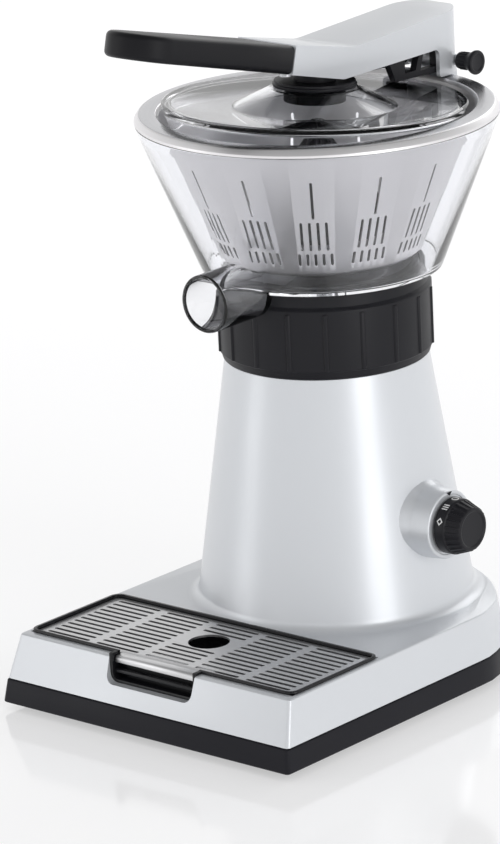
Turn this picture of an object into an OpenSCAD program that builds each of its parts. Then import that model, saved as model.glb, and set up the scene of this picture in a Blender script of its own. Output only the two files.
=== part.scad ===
// Citrus press juicer: motor base and column, clear juice bowl, strainer, reamer and hinged press arm.
// Millimetres. +Z up, front is -Y, the arm swings in the plane X = 0. Z = 0 is the worktop.

/* [Base] */
// width over the dark skirt
base_w = 200; // [194:1:212]
// column axis to the front of the skirt
base_front = 162.5; // [160:0.5:175]
// column axis to the back of the base
base_rear = 82; // [80:0.5:92]
// worktop to the top of the silver casing
base_top = 41; // [40:0.5:46]
// height of the rubber feet under the skirt
foot_h = 4; // [3:0.5:6]

/* [Column] */
// diameter of the cone where it meets the lock collar
column_d = 110; // [108:1:113]
// worktop to the top of the cone
column_top = 174.5; // [172:0.5:186]
// widening of the radius for each millimetre down the cone
column_slope = 0.145; // [0.13:0.005:0.15]

/* [Bowl and strainer] */
// diameter over the bowl's brim
bowl_d = 194; // [190:1:200]
// worktop to the strainer's rim
rim_z = 310; // [306:1:330]
// wall of the clear bowl
bowl_wall = 2.2; // [1.8:0.1:3]
// groups of slots round the strainer
slot_groups = 13; // [10:1:14]

/* [Press arm] */
// width of the arm and of its grip
arm_w = 40; // [36:1:44]
// column axis to the tip of the grip
tip_reach = 157; // [150:1:180]
// slope of the grip, in degrees
grip_slope = 14.6; // [10:0.2:16]
// tilt of the press lid on its pivot, in degrees
lid_tilt = 3.5; // [0:0.5:4]

/* [Controls] */
// diameter of the selector knob
knob_d = 30.6; // [28:0.2:34]
// height of the selector knob's axis
knob_z = 91; // [86:1:100]

/* [Drip tray] */
// length of the drip tray, front to back, over its rim
tray_l = 71.5; // [64:0.5:73]
// width of the finger notch in the front wall
notch_w = 61; // [50:1:70]

/* [Hidden] */
$fn = 64;
wall = 2.6;
fit = 0.05;
slack = 0.3;
gap = 0.5;
eps = 1;
big = 400;

// base
skirt_hw = base_w / 2;
skirt_z1 = foot_h + 12.9;
casing_z0 = skirt_z1 + gap;
casing_hw = skirt_hw - 1.8;
casing_front = base_front - 2.8;
side_draft = 0.157;
front_draft = 0.31;
rear_c = 28;
round_c = 12;
skirt_floor = 2.6;

// column
fillet_r = 6;
neck_r = column_d / 2 - 2.6;
collar_z0 = column_top + gap;
collar_z1 = collar_z0 + 39;
neck_top = collar_z1 + 5.5;
deck_t = 3;
boss_r = 18.5;
boss_x = column_d / 2 + column_slope * (column_top - knob_z) + 13.6;

// collar
collar_r = column_d / 2 + 2.6;
collar_ribs = 18;
rib_t = 2.2;
rib_h = 0.9;

// bowl
bowl_r = bowl_d / 2;
bowl_z0 = neck_top + 3.2;
bowl_top = rim_z - 4.6;
bowl_foot_r = column_d / 2 + 9.2;
cone_k = (bowl_r - bowl_foot_r) / (bowl_top - bowl_z0);
bowl_floor = 2.6;
spigot_r = neck_r - 3.4;
tube_r = 11;
tube_bore = 8;
tube_top = bowl_z0 + 18;
spout_r = 15.6;
spout_z = bowl_z0 + 1.4;
spout_y = 85;
spout_bore = spout_r - bowl_wall;

// strainer
rim_in = bowl_r - 12.2;
rim_out = bowl_r - 2.3;
sheet = 1;
basket_z0 = bowl_z0 + bowl_floor + 5.5;
basket_r0 = rim_in - 0.372 * (rim_z - basket_z0);
basket_k = (rim_in - basket_r0) / (rim_z - basket_z0);
slot_w = 1.5;
slot_turn = -80.9;

// drive
shaft_r = 4;
gear_m = 0.8;
t_motor = 12;
t_idler = 54;
t_small = 14;
t_out = 52;
centre_d = gear_m * (t_motor + t_idler) / 2;
box_z0 = column_top - 68;
box_wall = 2.4;
box_r = gear_m * t_idler / 2 + centre_d + 2 + box_wall;
stage1_z = box_z0 + box_wall + 1.6;
stage2_z = stage1_z + 9;
gear_t = 6;
cover_z = stage2_z + 9.4;
hang_r = 44;
motor_r = 29;
motor_z1 = box_z0 - 4;
motor_z0 = motor_z1 - 54;
spindle_top = tube_top + 26;

// reamer
reamer_r = 38;
reamer_z0 = tube_top + 2;
reamer_top = rim_z - 7;

// hinge and arm
pin_y = bowl_r;
pin_z = rim_z + 7;
pin_r = 3;
knuckle_r = 6;
post_hw = 12.5;
arm_hw = arm_w / 2;
arm_wall = 2.4;
arm_rear = pin_y + 9.5;
arm_low = rim_z + 16.5;
arm_top0 = arm_low + 15.6;
arm_top1 = arm_top0 + 3.8;
joint_y = 41.5;
grip_t = 15.2;
leg_y = pin_y - 17;
leg_low = rim_z + 0.7;
slot_hw = post_hw + 1.6;
axis_y = (max(base_front, tip_reach) - arm_rear) / 2;
rise = tan(grip_slope);

// press lid
lid_r = rim_in - 3.1;
lid_z = rim_z + 3.2;
dome_r = 43.7;
hub_r = 22.5;
hub_z = rim_z + 11;
hub_neck = 16.5;
lid_t = 2.2;
press_z = arm_low + 6;

// tray
tray_front = base_front - 15.3;
tray_hw = casing_hw - 6;
tray_rim = 1.6;
tray_lap = 0.8;
tray_deep = 14.5;
tray_t = 2;
rows = 12;
cols = 5;

// colours
silver = [0.80, 0.82, 0.84];
black = [0.06, 0.06, 0.065];
charcoal = [0.10, 0.10, 0.11];
steel = [0.72, 0.73, 0.75];
clear = [0.85, 0.87, 0.92, 0.35];

function cone_r(z) = column_d / 2 + column_slope * (column_top - z);
function bowl_rad(z) = bowl_foot_r + cone_k * (z - bowl_z0);
function grip_y(d) = -joint_y - d * cos(grip_slope);
function grip_z(d) = arm_low + rise * joint_y + d * sin(grip_slope);

// ---------- helpers ----------
module on_axis() {
  translate([0, axis_y, 0]) children();
}

module side_profile(hw) {
  rotate([90, 0, 90]) linear_extrude(2 * hw, center = true) children();
}

module along_x(x0, x1, r0, r1) {
  translate([x0, 0, 0]) rotate([0, 90, 0]) cylinder(h = x1 - x0, r1 = r0, r2 = r1);
}

module rounded_plate(hx, y0, y1, r, h) {
  union() {
    translate([-hx + r, y0, 0]) cube([2 * (hx - r), y1 - y0, h]);
    translate([-hx, y0 + r, 0]) cube([2 * hx, y1 - y0 - 2 * r, h]);
    for (x = [-hx + r, hx - r], y = [y0 + r, y1 - r]) translate([x, y, 0]) cylinder(h = h, r = r);
  }
}

// plan of the base with drafted walls: straight sides and front, two arcs at the back
module base_form(z0, z1, hw, front, ds, df, rear) {
  k = ds * (z1 - z0);
  intersection() {
    rotate([90, 0, 0]) linear_extrude(2 * big, center = true)
      polygon([[-hw, z0], [hw, z0], [hw - k, z1], [-hw + k, z1]]);
    side_profile(big)
      polygon([[-front, z0], [big, z0], [big, z1], [-front + df * (z1 - z0), z1]]);
    union() {
      translate([-big, -big, z0 - eps]) cube([2 * big, big, z1 - z0 + 2 * eps]);
      intersection() {
        translate([0, -rear_c, z0]) cylinder(h = z1 - z0, r1 = rear + rear_c, r2 = rear + rear_c - k);
        translate([0, -round_c, z0]) cylinder(h = z1 - z0, r1 = hw + 1.8, r2 = hw + 1.8 - k);
      }
    }
  }
}

module gear(n, t, turn) {
  rp = gear_m * n / 2;
  ra = rp + 0.72 * gear_m;
  rf = rp - 1.2 * gear_m;
  step = 360 / n;
  rotate([0, 0, turn]) linear_extrude(t)
    polygon([for (i = [0 : n - 1], q = [[rf, -0.34], [rp, -0.2], [ra, -0.1], [ra, 0.1], [rp, 0.2], [rf, 0.34]])
      [q[0] * cos((i + q[1]) * step), q[0] * sin((i + q[1]) * step)]]);
}

module at_pillars() {
  for (a = [45 : 90 : 315]) rotate([0, 0, a]) translate([hang_r, 0, 0]) children();
}

module at_corners() {
  for (x = [-1, 1]) {
    translate([x * (casing_hw - 20), -casing_front + 20, 0]) children();
    translate([x * (casing_hw - 42), base_rear - 42, 0]) children();
  }
}

// ---------- base and column ----------
module column_form() {
  rotate_extrude()
    polygon([[0, base_top], [cone_r(base_top), base_top], [column_d / 2, column_top], [neck_r, column_top],
      [neck_r, neck_top], [0, neck_top]]);
}

module column_bore() {
  rotate_extrude()
    polygon([[0, casing_z0 + 4], [cone_r(base_top) - wall - 2, casing_z0 + 4],
      [cone_r(base_top) - wall - 0.4, base_top - wall], [column_d / 2 - wall, column_top - 4],
      [neck_r - wall, column_top + 2], [neck_r - wall, neck_top - deck_t], [0, neck_top - deck_t]]);
}

module foot_fillet() {
  r0 = cone_r(base_top);
  intersection() {
    translate([0, 0, base_top]) rotate_extrude() difference() {
      translate([r0 - 4, 0]) square([fillet_r + 4, fillet_r]);
      translate([r0 + fillet_r, fillet_r]) circle(r = fillet_r);
    }
    translate([-big, -tray_front + tray_l + gap, 0]) cube([2 * big, big, big]);
    translate([0, -rear_c, 0]) cylinder(h = big, r = base_rear + rear_c - side_draft * (base_top - casing_z0));
  }
}

module spine() {
  side_profile(post_hw)
    polygon([[neck_r, column_top - 50], [neck_r, column_top - 3.2], [collar_r + 2.4, column_top - 3.2],
      [collar_r + 2.4, collar_z1 + 2], [bowl_rad(bowl_z0) + 1.6, bowl_z0 - 1], [bowl_r + 1.8, bowl_top],
      [bowl_r + 1.8, pin_z], [pin_y + knuckle_r, pin_z], [arm_rear - 2, bowl_top - 2],
      [bowl_rad(bowl_z0) + 10.6, bowl_z0 - 2], [collar_r + 13.6, collar_z1],
      [collar_r + 12, column_top - 3.2], [cone_r(column_top - 62) - 1, column_top - 62]]);
  translate([0, pin_y, pin_z]) along_x(-post_hw, post_hw, knuckle_r, knuckle_r);
}

module well_walls() {
  well_block(wall - 0.4, base_top - tray_deep - wall, base_top);
}

module well_block(grow, z0, z1) {
  g = grow - tray_lap;
  translate([-tray_hw - g, -tray_front - g, z0]) cube([2 * (tray_hw + g), tray_l + 2 * g, z1 - z0]);
}

module body_shell() color(silver) on_axis() difference() {
  base_form(casing_z0, base_top, casing_hw, casing_front, side_draft, front_draft, base_rear - 1.8);
  // inside of the casing, leaving the walls of the tray's well and the screw bosses
  difference() {
    base_form(casing_z0 - eps, base_top - wall, casing_hw - wall, casing_front - wall, side_draft,
      front_draft, base_rear - 1.8 - wall);
    well_walls();
    at_corners() cylinder(h = big, r = 5);
  }
  // way through to the column
  difference() {
    column_bore();
    well_walls();
  }
  // tray well and finger notch
  well_block(0, base_top - tray_deep, base_top + eps);
  translate([-notch_w / 2, -base_front - eps, base_top - tray_deep + 0.5])
    cube([notch_w, 24, tray_deep + eps]);
  // cover screws and cord
  at_corners() translate([0, 0, casing_z0 - eps]) cylinder(h = 14, r = 1.7);
  translate([0, base_rear - 20, base_top - 13]) rotate([-90, 0, 0]) cylinder(h = 30, r = 5.5);
}

module column_shell() color(silver) on_axis() difference() {
  union() {
    column_form();
    foot_fillet();
    translate([0, 0, knob_z]) along_x(cone_r(knob_z) - 12, boss_x, boss_r + 1.5, boss_r);
  }
  // inside, leaving the pillars and the knob's sleeve
  difference() {
    column_bore();
    at_pillars() translate([0, 0, cover_z + wall]) cylinder(h = big, r = 4.2);
    translate([0, 0, knob_z]) along_x(cone_r(knob_z) - 14, boss_x, 6.5, 6.5);
  }
  // knob shaft, upper bush and pillar screws
  translate([0, 0, knob_z]) along_x(20, boss_x + eps, shaft_r + fit, shaft_r + fit);
  translate([0, 0, neck_top - 20]) cylinder(h = 30, r = shaft_r + 5);
  at_pillars() translate([0, 0, cover_z]) cylinder(h = wall + 16, r = 1.7);
}

module rear_strut() color(silver) on_axis() difference() {
  spine();
  column_form();
  translate([0, pin_y, pin_z]) along_x(-40, 40, pin_r + fit, pin_r + fit);
}

module pointer_mark() color(charcoal) on_axis()
  translate([boss_x, 0, knob_z]) rotate([90, 0, 90]) linear_extrude(0.5)
    polygon([[-1.9, knob_d / 2 + 2.9], [1.9, knob_d / 2 + 2.9], [0, knob_d / 2 + 0.9]]);

module base_cover() color(charcoal) on_axis() difference() {
  base_form(foot_h, skirt_z1, skirt_hw, base_front, 0.1, 0.15, base_rear);
  difference() {
    base_form(foot_h + skirt_floor, skirt_z1 + eps, skirt_hw - wall, base_front - wall, 0.1, 0.15,
      base_rear - wall);
    at_corners() cylinder(h = big, r = 6.5);
    translate([0, 0, 0]) cylinder(h = foot_h + skirt_floor + 5, r = 22);
  }
  at_corners() {
    cylinder(h = big, r = 2.2);
    translate([0, 0, foot_h - eps]) cylinder(h = 9, r = 4.2);
  }
  for (x = [-1, 1], y = [-base_front + 34, 30])
    translate([x * (skirt_hw - 24), y, foot_h - eps]) cylinder(h = 2.2, r = 10.1);
  for (y = [-40 : 8 : -8]) translate([-22, y - 30, 0]) cube([44, 3, foot_h + skirt_floor + eps]);
}

module rubber_feet() color([0.05, 0.05, 0.05]) on_axis()
  for (x = [-1, 1], y = [-base_front + 34, 30]) translate([x * (skirt_hw - 24), y, 0]) {
    cylinder(h = foot_h, r1 = 8.5, r2 = 9.5);
    translate([0, 0, foot_h - eps]) cylinder(h = 2.1, r = 9.5);
  }

module base_screws() color(steel) on_axis() at_corners() difference() {
  union() {
    translate([0, 0, foot_h + 5]) cylinder(h = 2.6, r = 3.6);
    translate([0, 0, foot_h + 5]) cylinder(h = casing_z0 + 8 - foot_h - 5, r = 1.7);
  }
  translate([0, 0, foot_h + 4]) cylinder(h = 2.4, r = 1.6, $fn = 6);
}

module cord_gland() color(charcoal) on_axis() translate([0, 0, base_top - 13]) rotate([-90, 0, 0]) difference() {
  union() {
    translate([0, 0, base_rear - 2]) cylinder(h = 2.4, r = 7.6);
    translate([0, 0, base_rear - 10]) cylinder(h = 8, r = 5.2);
    translate([0, 0, base_rear]) cylinder(h = 9, r1 = 5.2, r2 = 4.2);
  }
  cylinder(h = big, r = 3);
}

// ---------- drip tray ----------
module tray_box(inset, z0, z1) {
  g = tray_lap + inset;
  translate([0, 0, z0])
    rounded_plate(tray_hw - g, -tray_front + g, -tray_front + tray_l - g, 5, z1 - z0);
}

module drip_tray() color(black) on_axis() difference() {
  union() {
    tray_box(gap, base_top - tray_deep + 0.4, base_top + 0.2);
    translate([0, 0, base_top + 0.1])
      rounded_plate(tray_hw, -tray_front, -tray_front + tray_l, 6, tray_rim - 0.1);
  }
  tray_box(gap + tray_t, base_top - tray_deep + 0.4 + tray_t, base_top + 4);
  translate([0, 0, base_top - 1.5])
    rounded_plate(tray_hw - 1.8, -tray_front + 1.8, -tray_front + tray_l - 1.8, 4.4, 10);
  translate([-notch_w / 2 + 2, -tray_front - 5, base_top - 5]) cube([notch_w - 4, 9.5, 20]);
  translate([-notch_w / 2 + 2, -tray_front - 5, base_top - 11]) cube([notch_w - 4, 8.3, 4]);
}

module drip_grid() color(steel) on_axis() {
  gw = tray_hw - 2.3;
  gy0 = -tray_front + 2.3;
  gy1 = -tray_front + tray_l - 2.3;
  pitch = (gy1 - gy0 - 5) / rows;
  cw = (2 * gw - 6) / cols;
  hole_y = gy1 - 2.5 - pitch * 5;
  translate([0, 0, base_top - 1.3]) difference() {
    rounded_plate(gw, gy0, gy1, 4, 1.2);
    for (c = [0 : cols - 1], r = [0 : rows - 1])
      if (c != 2 || r < 3 || r > 6)
        translate([-gw + 3 + c * cw + 2.6, gy1 - 2.5 - (r + 0.78) * pitch, -eps])
          cube([cw - 5.2, pitch * 0.5, 4]);
    translate([0, hole_y, -eps]) cylinder(h = 4, r = 11.6);
    translate([-notch_w / 2 + 2.5, gy0 - eps, -eps]) cube([notch_w - 5, 1 + eps, 4]);
  }
  translate([-notch_w / 2 + 3, gy0 - 5.3, base_top - 3.9]) cube([notch_w - 6, 1.2, 3.8]);
  translate([-notch_w / 2 + 3, gy0 - 5.3, base_top - 1.3]) cube([notch_w - 6, 7, 1.2]);
}

// ---------- collar, bowl and strainer ----------
module lock_collar() color(black) on_axis() {
  rotate_extrude()
    polygon([[neck_r + slack, collar_z0], [collar_r - 1.7, collar_z0], [collar_r - 0.6, collar_z0 + 4],
        [collar_r, collar_z0 + 4.4], [collar_r, collar_z1 - 1.2], [collar_r - 1.2, collar_z1],
        [neck_r + 3.2, collar_z1 + 0.4], [neck_r + 3.2, neck_top + 2.2], [neck_r + slack, neck_top + 2.2]]);
  for (i = [0 : collar_ribs - 1]) rotate([0, 0, (i + 0.5) * 360 / collar_ribs])
    translate([collar_r - 1, -rib_t / 2, collar_z0 + 5]) cube([1 + rib_h, rib_t, collar_z1 - collar_z0 - 8]);
}

module bowl_seal() color([0.3, 0.3, 0.31]) on_axis() translate([0, 0, neck_top + 0.05]) difference() {
  cylinder(h = 3.1, r = spigot_r + 2.6);
  translate([0, 0, -eps]) cylinder(h = 6, r = spigot_r - 1);
}

module juice_bowl() color(clear) on_axis() difference() {
  union() {
    rotate_extrude()
      polygon([[0, bowl_z0], [bowl_foot_r, bowl_z0], [bowl_r, bowl_top], [0, bowl_top]]);
    translate([0, -collar_r - 3, spout_z]) rotate([90, 0, 0]) cylinder(h = spout_y - collar_r - 3, r = spout_r);
  }
  // inside, round a centre tube
  rotate_extrude()
    polygon([[tube_r, bowl_z0 + bowl_floor], [bowl_rad(bowl_z0 + bowl_floor) - bowl_wall, bowl_z0 + bowl_floor],
      [bowl_r - bowl_wall, bowl_top + eps], [0, bowl_top + eps], [0, tube_top], [tube_r, tube_top]]);
  // bore for the spindle and the spout's passage
  translate([0, 0, bowl_z0 - eps]) cylinder(h = 60, r = tube_bore);
  intersection() {
    translate([0, -collar_r - 5.4, spout_z]) rotate([90, 0, 0]) cylinder(h = 60, r = spout_bore);
    union() {
      translate([-big, -big, 0]) cube([2 * big, big - bowl_foot_r + 1, big]);
      translate([-big, -big, bowl_z0 + bowl_floor]) cube([2 * big, big, big]);
    }
  }
}

module strainer_basket() color(steel) on_axis() difference() {
  rotate_extrude()
    polygon([[tube_r + 1, basket_z0], [basket_r0, basket_z0], [rim_in, rim_z - 1.2], [rim_in + sheet, rim_z - sheet],
      [rim_out - 0.6, rim_z - sheet], [bowl_r - 1, rim_z - 3.6], [bowl_r - 1, rim_z - 4.4], [bowl_r, rim_z - 4.4],
      [bowl_r, rim_z - 3.4], [rim_out, rim_z], [rim_in - 0.4, rim_z],
      [rim_in - sheet, rim_z - 1.2], [basket_r0 - sheet, basket_z0 + sheet], [tube_r + 1, basket_z0 + sheet]]);
  for (g = [0 : slot_groups - 1]) rotate([0, 0, slot_turn + g * 360 / slot_groups]) {
    translate([0, -slot_w / 2, rim_z - 44]) cube([big, slot_w, 22]);
    for (i = [-1.5 : 1 : 1.5]) translate([0, i * 4.4 - slot_w / 2, rim_z - 63]) cube([big, slot_w, 17]);
    for (i = [-2 : 2]) translate([0, i * 4.2 - slot_w / 2, rim_z - 72]) cube([big, slot_w, 7]);
  }
}

// ---------- reamer and drive ----------
module reamer_cone() color(black) on_axis() difference() {
  union() {
    translate([0, 0, reamer_z0]) cylinder(h = 3.4, r = reamer_r);
    translate([0, 0, reamer_z0 + 3]) cylinder(h = reamer_top - reamer_z0 - 6, r1 = 26, r2 = 3.5);
    for (a = [0 : 45 : 315]) rotate([90, 0, a]) linear_extrude(2.6, center = true)
      polygon([[0, reamer_z0 + 3], [34, reamer_z0 + 3], [31, reamer_z0 + 14], [22, reamer_z0 + 34],
        [10, reamer_top - 5], [0, reamer_top]]);
  }
  translate([0, 0, reamer_z0 - eps]) cylinder(h = spindle_top - reamer_z0 + 2 * eps, r = shaft_r + 1.6, $fn = 6);
  difference() {
    translate([0, 0, reamer_z0 - eps]) cylinder(h = 12, r1 = 22, r2 = 19);
    cylinder(h = big, r = 9);
  }
}

module drive_spindle() color(steel) on_axis() {
  translate([0, 0, stage2_z - 1.4]) cylinder(h = reamer_z0 - stage2_z + 1.4, r = shaft_r);
  translate([0, 0, reamer_z0 - 0.5]) cylinder(h = spindle_top - reamer_z0 + 0.5, r = shaft_r + 1.2, $fn = 6);
}

module output_gear() color([0.85, 0.83, 0.75]) on_axis() translate([0, 0, stage2_z]) difference() {
  union() {
    gear(t_out, gear_t, 90);
    cylinder(h = gear_t + 2, r = 8);
  }
  translate([0, 0, -eps]) cylinder(h = 20, r = shaft_r);
}

module idler_gear() color([0.85, 0.83, 0.75]) on_axis() translate([0, centre_d, 0]) difference() {
  union() {
    translate([0, 0, stage1_z]) gear(t_idler, gear_t, -90 + 180 / t_idler);
    translate([0, 0, stage1_z + gear_t - 0.5]) cylinder(h = 3.2, r = gear_m * t_small / 2 - 1.2);
    translate([0, 0, stage2_z - 0.6]) gear(t_small, gear_t + 1.2, -90 + 180 / t_small);
  }
  translate([0, 0, stage1_z - eps]) cylinder(h = 40, r = 2 + fit);
}

module idler_pin() color(steel) on_axis() translate([0, centre_d, box_z0 + 0.2])
  cylinder(h = cover_z - box_z0 + wall - 1.4, r = 2);

module motor_pinion() color([0.75, 0.62, 0.3]) on_axis() translate([0, 0, stage1_z - 0.6]) difference() {
  gear(t_motor, gear_t + 1.2, 90);
  translate([0, 0, -eps]) cylinder(h = 20, r = 2);
}

module motor_shaft() color(steel) on_axis() translate([0, 0, motor_z0 - 4])
  cylinder(h = stage1_z + gear_t - motor_z0 + 4, r = 2);

module motor_armature() color([0.65, 0.36, 0.2]) on_axis() translate([0, 0, motor_z0 + 10]) difference() {
  union() {
    cylinder(h = 32, r = 18);
    translate([0, 0, -5]) cylinder(h = 42, r = 9);
  }
  translate([0, 0, -20]) cylinder(h = 80, r = 2);
}

module motor_can() color([0.5, 0.51, 0.53]) on_axis() difference() {
  translate([0, 0, motor_z0]) cylinder(h = motor_z1 - motor_z0, r = motor_r);
  translate([0, 0, motor_z0 - eps]) cylinder(h = motor_z1 - motor_z0 - 1, r = motor_r - 3);
  cylinder(h = big, r = 4);
  for (x = [-16, 16]) translate([x, 0, motor_z1 - 6]) cylinder(h = 10, r = 1.5);
  for (a = [0 : 60 : 300]) rotate([0, 0, a + 30]) translate([motor_r - 6, -3, motor_z0 + 34]) cube([10, 6, 10]);
}

module motor_end_cap() color(charcoal) on_axis() translate([0, 0, motor_z0 - 3]) difference() {
  union() {
    cylinder(h = 3, r = motor_r);
    translate([0, 0, 2]) cylinder(h = 5, r = motor_r - 3.1);
    translate([0, 0, -3.5]) cylinder(h = 4, r = 7);
  }
  translate([0, 0, -eps - 4]) cylinder(h = 20, r = 2 + fit);
  difference() {
    translate([0, 0, 3]) cylinder(h = 10, r = motor_r - 6);
    cylinder(h = 3.4, r = 6);
  }
}

module motor_damper() color([0.05, 0.05, 0.05]) on_axis() translate([0, 0, motor_z1]) difference() {
  cylinder(h = 4, r = motor_r - 1);
  translate([0, 0, -eps]) cylinder(h = 6, r = 9);
  for (x = [-16, 16]) translate([x, 0, -eps]) cylinder(h = 6, r = 2);
}

module motor_screws() color(steel) on_axis() for (x = [-16, 16]) translate([x, 0, motor_z1 - 5]) {
  cylinder(h = box_z0 + box_wall - motor_z1 + 5, r = 1.5);
  translate([0, 0, box_z0 + box_wall - motor_z1 + 5 - 1.2]) cylinder(h = 1.2, r = 2.8);
}

module gearbox_housing() color([0.2, 0.2, 0.22]) on_axis() difference() {
  translate([0, 0, box_z0]) cylinder(h = cover_z - box_z0, r = box_r);
  difference() {
    translate([0, 0, box_z0 + box_wall]) cylinder(h = big, r = box_r - box_wall);
    at_pillars() cylinder(h = big, r = 4);
    translate([0, centre_d, 0]) cylinder(h = stage1_z - 0.3, r = 4);
  }
  at_pillars() cylinder(h = big, r = 2.1);
  translate([0, centre_d, box_z0 + 0.2]) cylinder(h = big, r = 2);
  cylinder(h = big, r = 4.6);
  for (x = [-16, 16]) translate([x, 0, 0]) {
    cylinder(h = big, r = 1.6);
    translate([0, 0, box_z0 + 1.2]) cylinder(h = big, r = 3);
  }
}

module gearbox_cover() color([0.24, 0.24, 0.26]) on_axis() translate([0, 0, cover_z]) difference() {
  union() {
    cylinder(h = wall, r = box_r);
    cylinder(h = 15, r = 10);
  }
  translate([0, 0, -eps]) cylinder(h = 30, r = 6.5);
  at_pillars() translate([0, 0, -eps]) cylinder(h = 10, r = 2.1);
  translate([0, centre_d, -eps]) cylinder(h = wall, r = 2);
}

module gearbox_screws() color(steel) on_axis() at_pillars() {
  translate([0, 0, box_z0 - 2.6]) cylinder(h = 2.6, r = 3.5);
  translate([0, 0, box_z0 - 1]) cylinder(h = cover_z + wall + 11 - box_z0, r = 1.7);
}

module lower_bush() color([0.72, 0.55, 0.3]) on_axis() translate([0, 0, cover_z]) difference() {
  cylinder(h = 15, r = 6.5);
  translate([0, 0, -eps]) cylinder(h = 20, r = shaft_r + fit);
}

module upper_bush() color([0.72, 0.55, 0.3]) on_axis() translate([0, 0, neck_top - deck_t - 9]) difference() {
  union() {
    cylinder(h = 12, r = shaft_r + 5);
    translate([0, 0, 6]) cylinder(h = 3, r = shaft_r + 9);
  }
  translate([0, 0, -eps]) cylinder(h = 20, r = shaft_r + fit);
}

module shaft_seal() color([0.05, 0.05, 0.05]) on_axis() translate([0, 0, neck_top + 0.05]) difference() {
  cylinder(h = 2.6, r = tube_bore - 0.6);
  translate([0, 0, -eps]) cylinder(h = 10, r = shaft_r + fit);
}

// ---------- controls ----------
module selector_knob() color(black) on_axis() translate([0, 0, knob_z]) difference() {
  union() {
    along_x(boss_x + 0.8, boss_x + 16.5, knob_d / 2, knob_d / 2 - 3.7);
    for (a = [10 : 20 : 350]) rotate([a, 0, 0]) translate([boss_x + 5, -1.1, knob_d / 2 - 2.6])
      rotate([0, 13.2, 0]) cube([11, 2.2, 2]);
  }
  along_x(boss_x - eps, boss_x + 11, 3, 3);
}

module selector_shaft() color(steel) on_axis() translate([0, 0, knob_z]) {
  along_x(cone_r(knob_z) - 13.5, boss_x + 0.4, shaft_r, shaft_r);
  along_x(boss_x, boss_x + 11, 3, 3);
}

module selector_switch() color([0.85, 0.85, 0.82]) on_axis() translate([0, 0, knob_z]) difference() {
  translate([cone_r(knob_z) - 33, -14, -14]) cube([18.5, 28, 28]);
  along_x(cone_r(knob_z) - 26, big, shaft_r + 1.6, shaft_r + 1.6);
}

module control_board() color([0.1, 0.35, 0.2]) on_axis() translate([-60, -30, foot_h + skirt_floor + 6]) difference() {
  cube([58, 60, 1.6]);
  for (x = [4, 54], y = [4, 56]) translate([x, y, -eps]) cylinder(h = 4, r = 1.6);
}

module board_parts() color([0.15, 0.15, 0.5]) on_axis() translate([-60, -30, foot_h + skirt_floor + 7.6]) {
  translate([8, 10, 0]) cube([26, 14, 13]);
  translate([42, 18, 0]) cylinder(h = 14, r = 7);
  translate([10, 34, 0]) cube([20, 18, 16]);
  translate([40, 36, 0]) cube([12, 16, 9]);
}

// ---------- arm ----------
module arm_profile(low, high, back) {
  y0 = -joint_y;
  side_profile(big)
    polygon([[y0 - rise * low * 0.5, arm_low + rise * joint_y + low], [0, arm_low + low],
      [back, arm_low + low], [back, arm_top1 - high], [12, arm_top0 - high],
      [0, arm_top0 - high + 1.2], [y0 + rise * grip_t, arm_low + rise * joint_y + grip_t - high]]);
}

module arm_plan(hw) {
  translate([-hw, -big, 0]) cube([2 * hw, big + arm_rear - arm_hw, 2 * big]);
  translate([0, arm_rear - arm_hw, 0]) cylinder(h = 2 * big, r = hw);
}

module lever_arm() color(silver) on_axis() difference() {
  intersection() {
    union() {
      arm_profile(0, 0, arm_rear);
      side_profile(arm_hw)
        polygon([[leg_y - 5, arm_low + 1], [leg_y, arm_low - 5], [leg_y, leg_low], [pin_y + 4, leg_low],
          [arm_rear, pin_z], [arm_rear, arm_low + 1]]);
    }
    arm_plan(arm_hw);
  }
  // hollow from below, with the end toward the grip left open
  intersection() {
    union() {
      arm_profile(-40, arm_wall, arm_rear + 2);
      translate([-big, leg_y - 20, leg_low - eps]) cube([2 * big, 100, 20]);
    }
    arm_plan(arm_hw - arm_wall);
  }
  // clearance round the post, and the pin's holes
  translate([-slot_hw, pin_y - 2, leg_low - eps]) cube([2 * slot_hw, 40, 20]);
  translate([0, pin_y, pin_z]) along_x(-40, 40, pin_r + fit, pin_r + fit);
}

module arm_liner() color(black) on_axis() {
  hw = arm_hw - arm_wall - 0.4;
  difference() {
    intersection() {
      arm_plan(hw);
      union() {
        intersection() {
          arm_profile(1, arm_wall + 6, leg_y + 1);
          translate([-hw, -joint_y + 5, 0]) cube([2 * hw, big, big]);
        }
        for (x = [-1, 1]) translate([x * (hw + post_hw + 0.6) / 2, 0, 0]) side_profile((hw - post_hw - 0.6) / 2)
          polygon([[40, arm_low + 2], [46, rim_z + 5], [pin_y - 8, rim_z + 3], [pin_y + 4, rim_z + 3],
            [pin_y + 4, pin_z + 4], [pin_y - 6, arm_low + 3]]);
      }
    }
    // recess over the plate and webs between the rails
    intersection() {
      arm_profile(3.4, -20, leg_y - 1.4);
      translate([-hw + 2, -joint_y - 5, 0]) cube([2 * hw - 4, big, big]);
    }
    side_profile(big) polygon([[54, arm_low - 1], [66, arm_low - 1], [63, rim_z + 8], [54, rim_z + 8]]);
    side_profile(big) polygon([[70, arm_low - 1], [80, arm_low - 1], [80, rim_z + 7], [67, rim_z + 7]]);
    cylinder(h = big, r = 16);
    translate([0, 0, press_z]) along_x(-40, 40, 2.6, 2.6);
    translate([0, pin_y, pin_z]) along_x(-40, 40, pin_r + fit, pin_r + fit);
    for (y = [-24, 44]) translate([0, y, 0]) cylinder(h = big, r = 1.8);
  }
}

module liner_screws() color(steel) on_axis() for (y = [-24, 44]) {
  z = arm_low + (y < 0 ? rise * (-y - 3.4) - 0.2 : 0) + 1;
  translate([0, y, z - 1.2]) cylinder(h = 12, r = 1.5);
  translate([0, y, z - 1.6]) cylinder(h = 1.6, r = 3.4);
}

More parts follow.
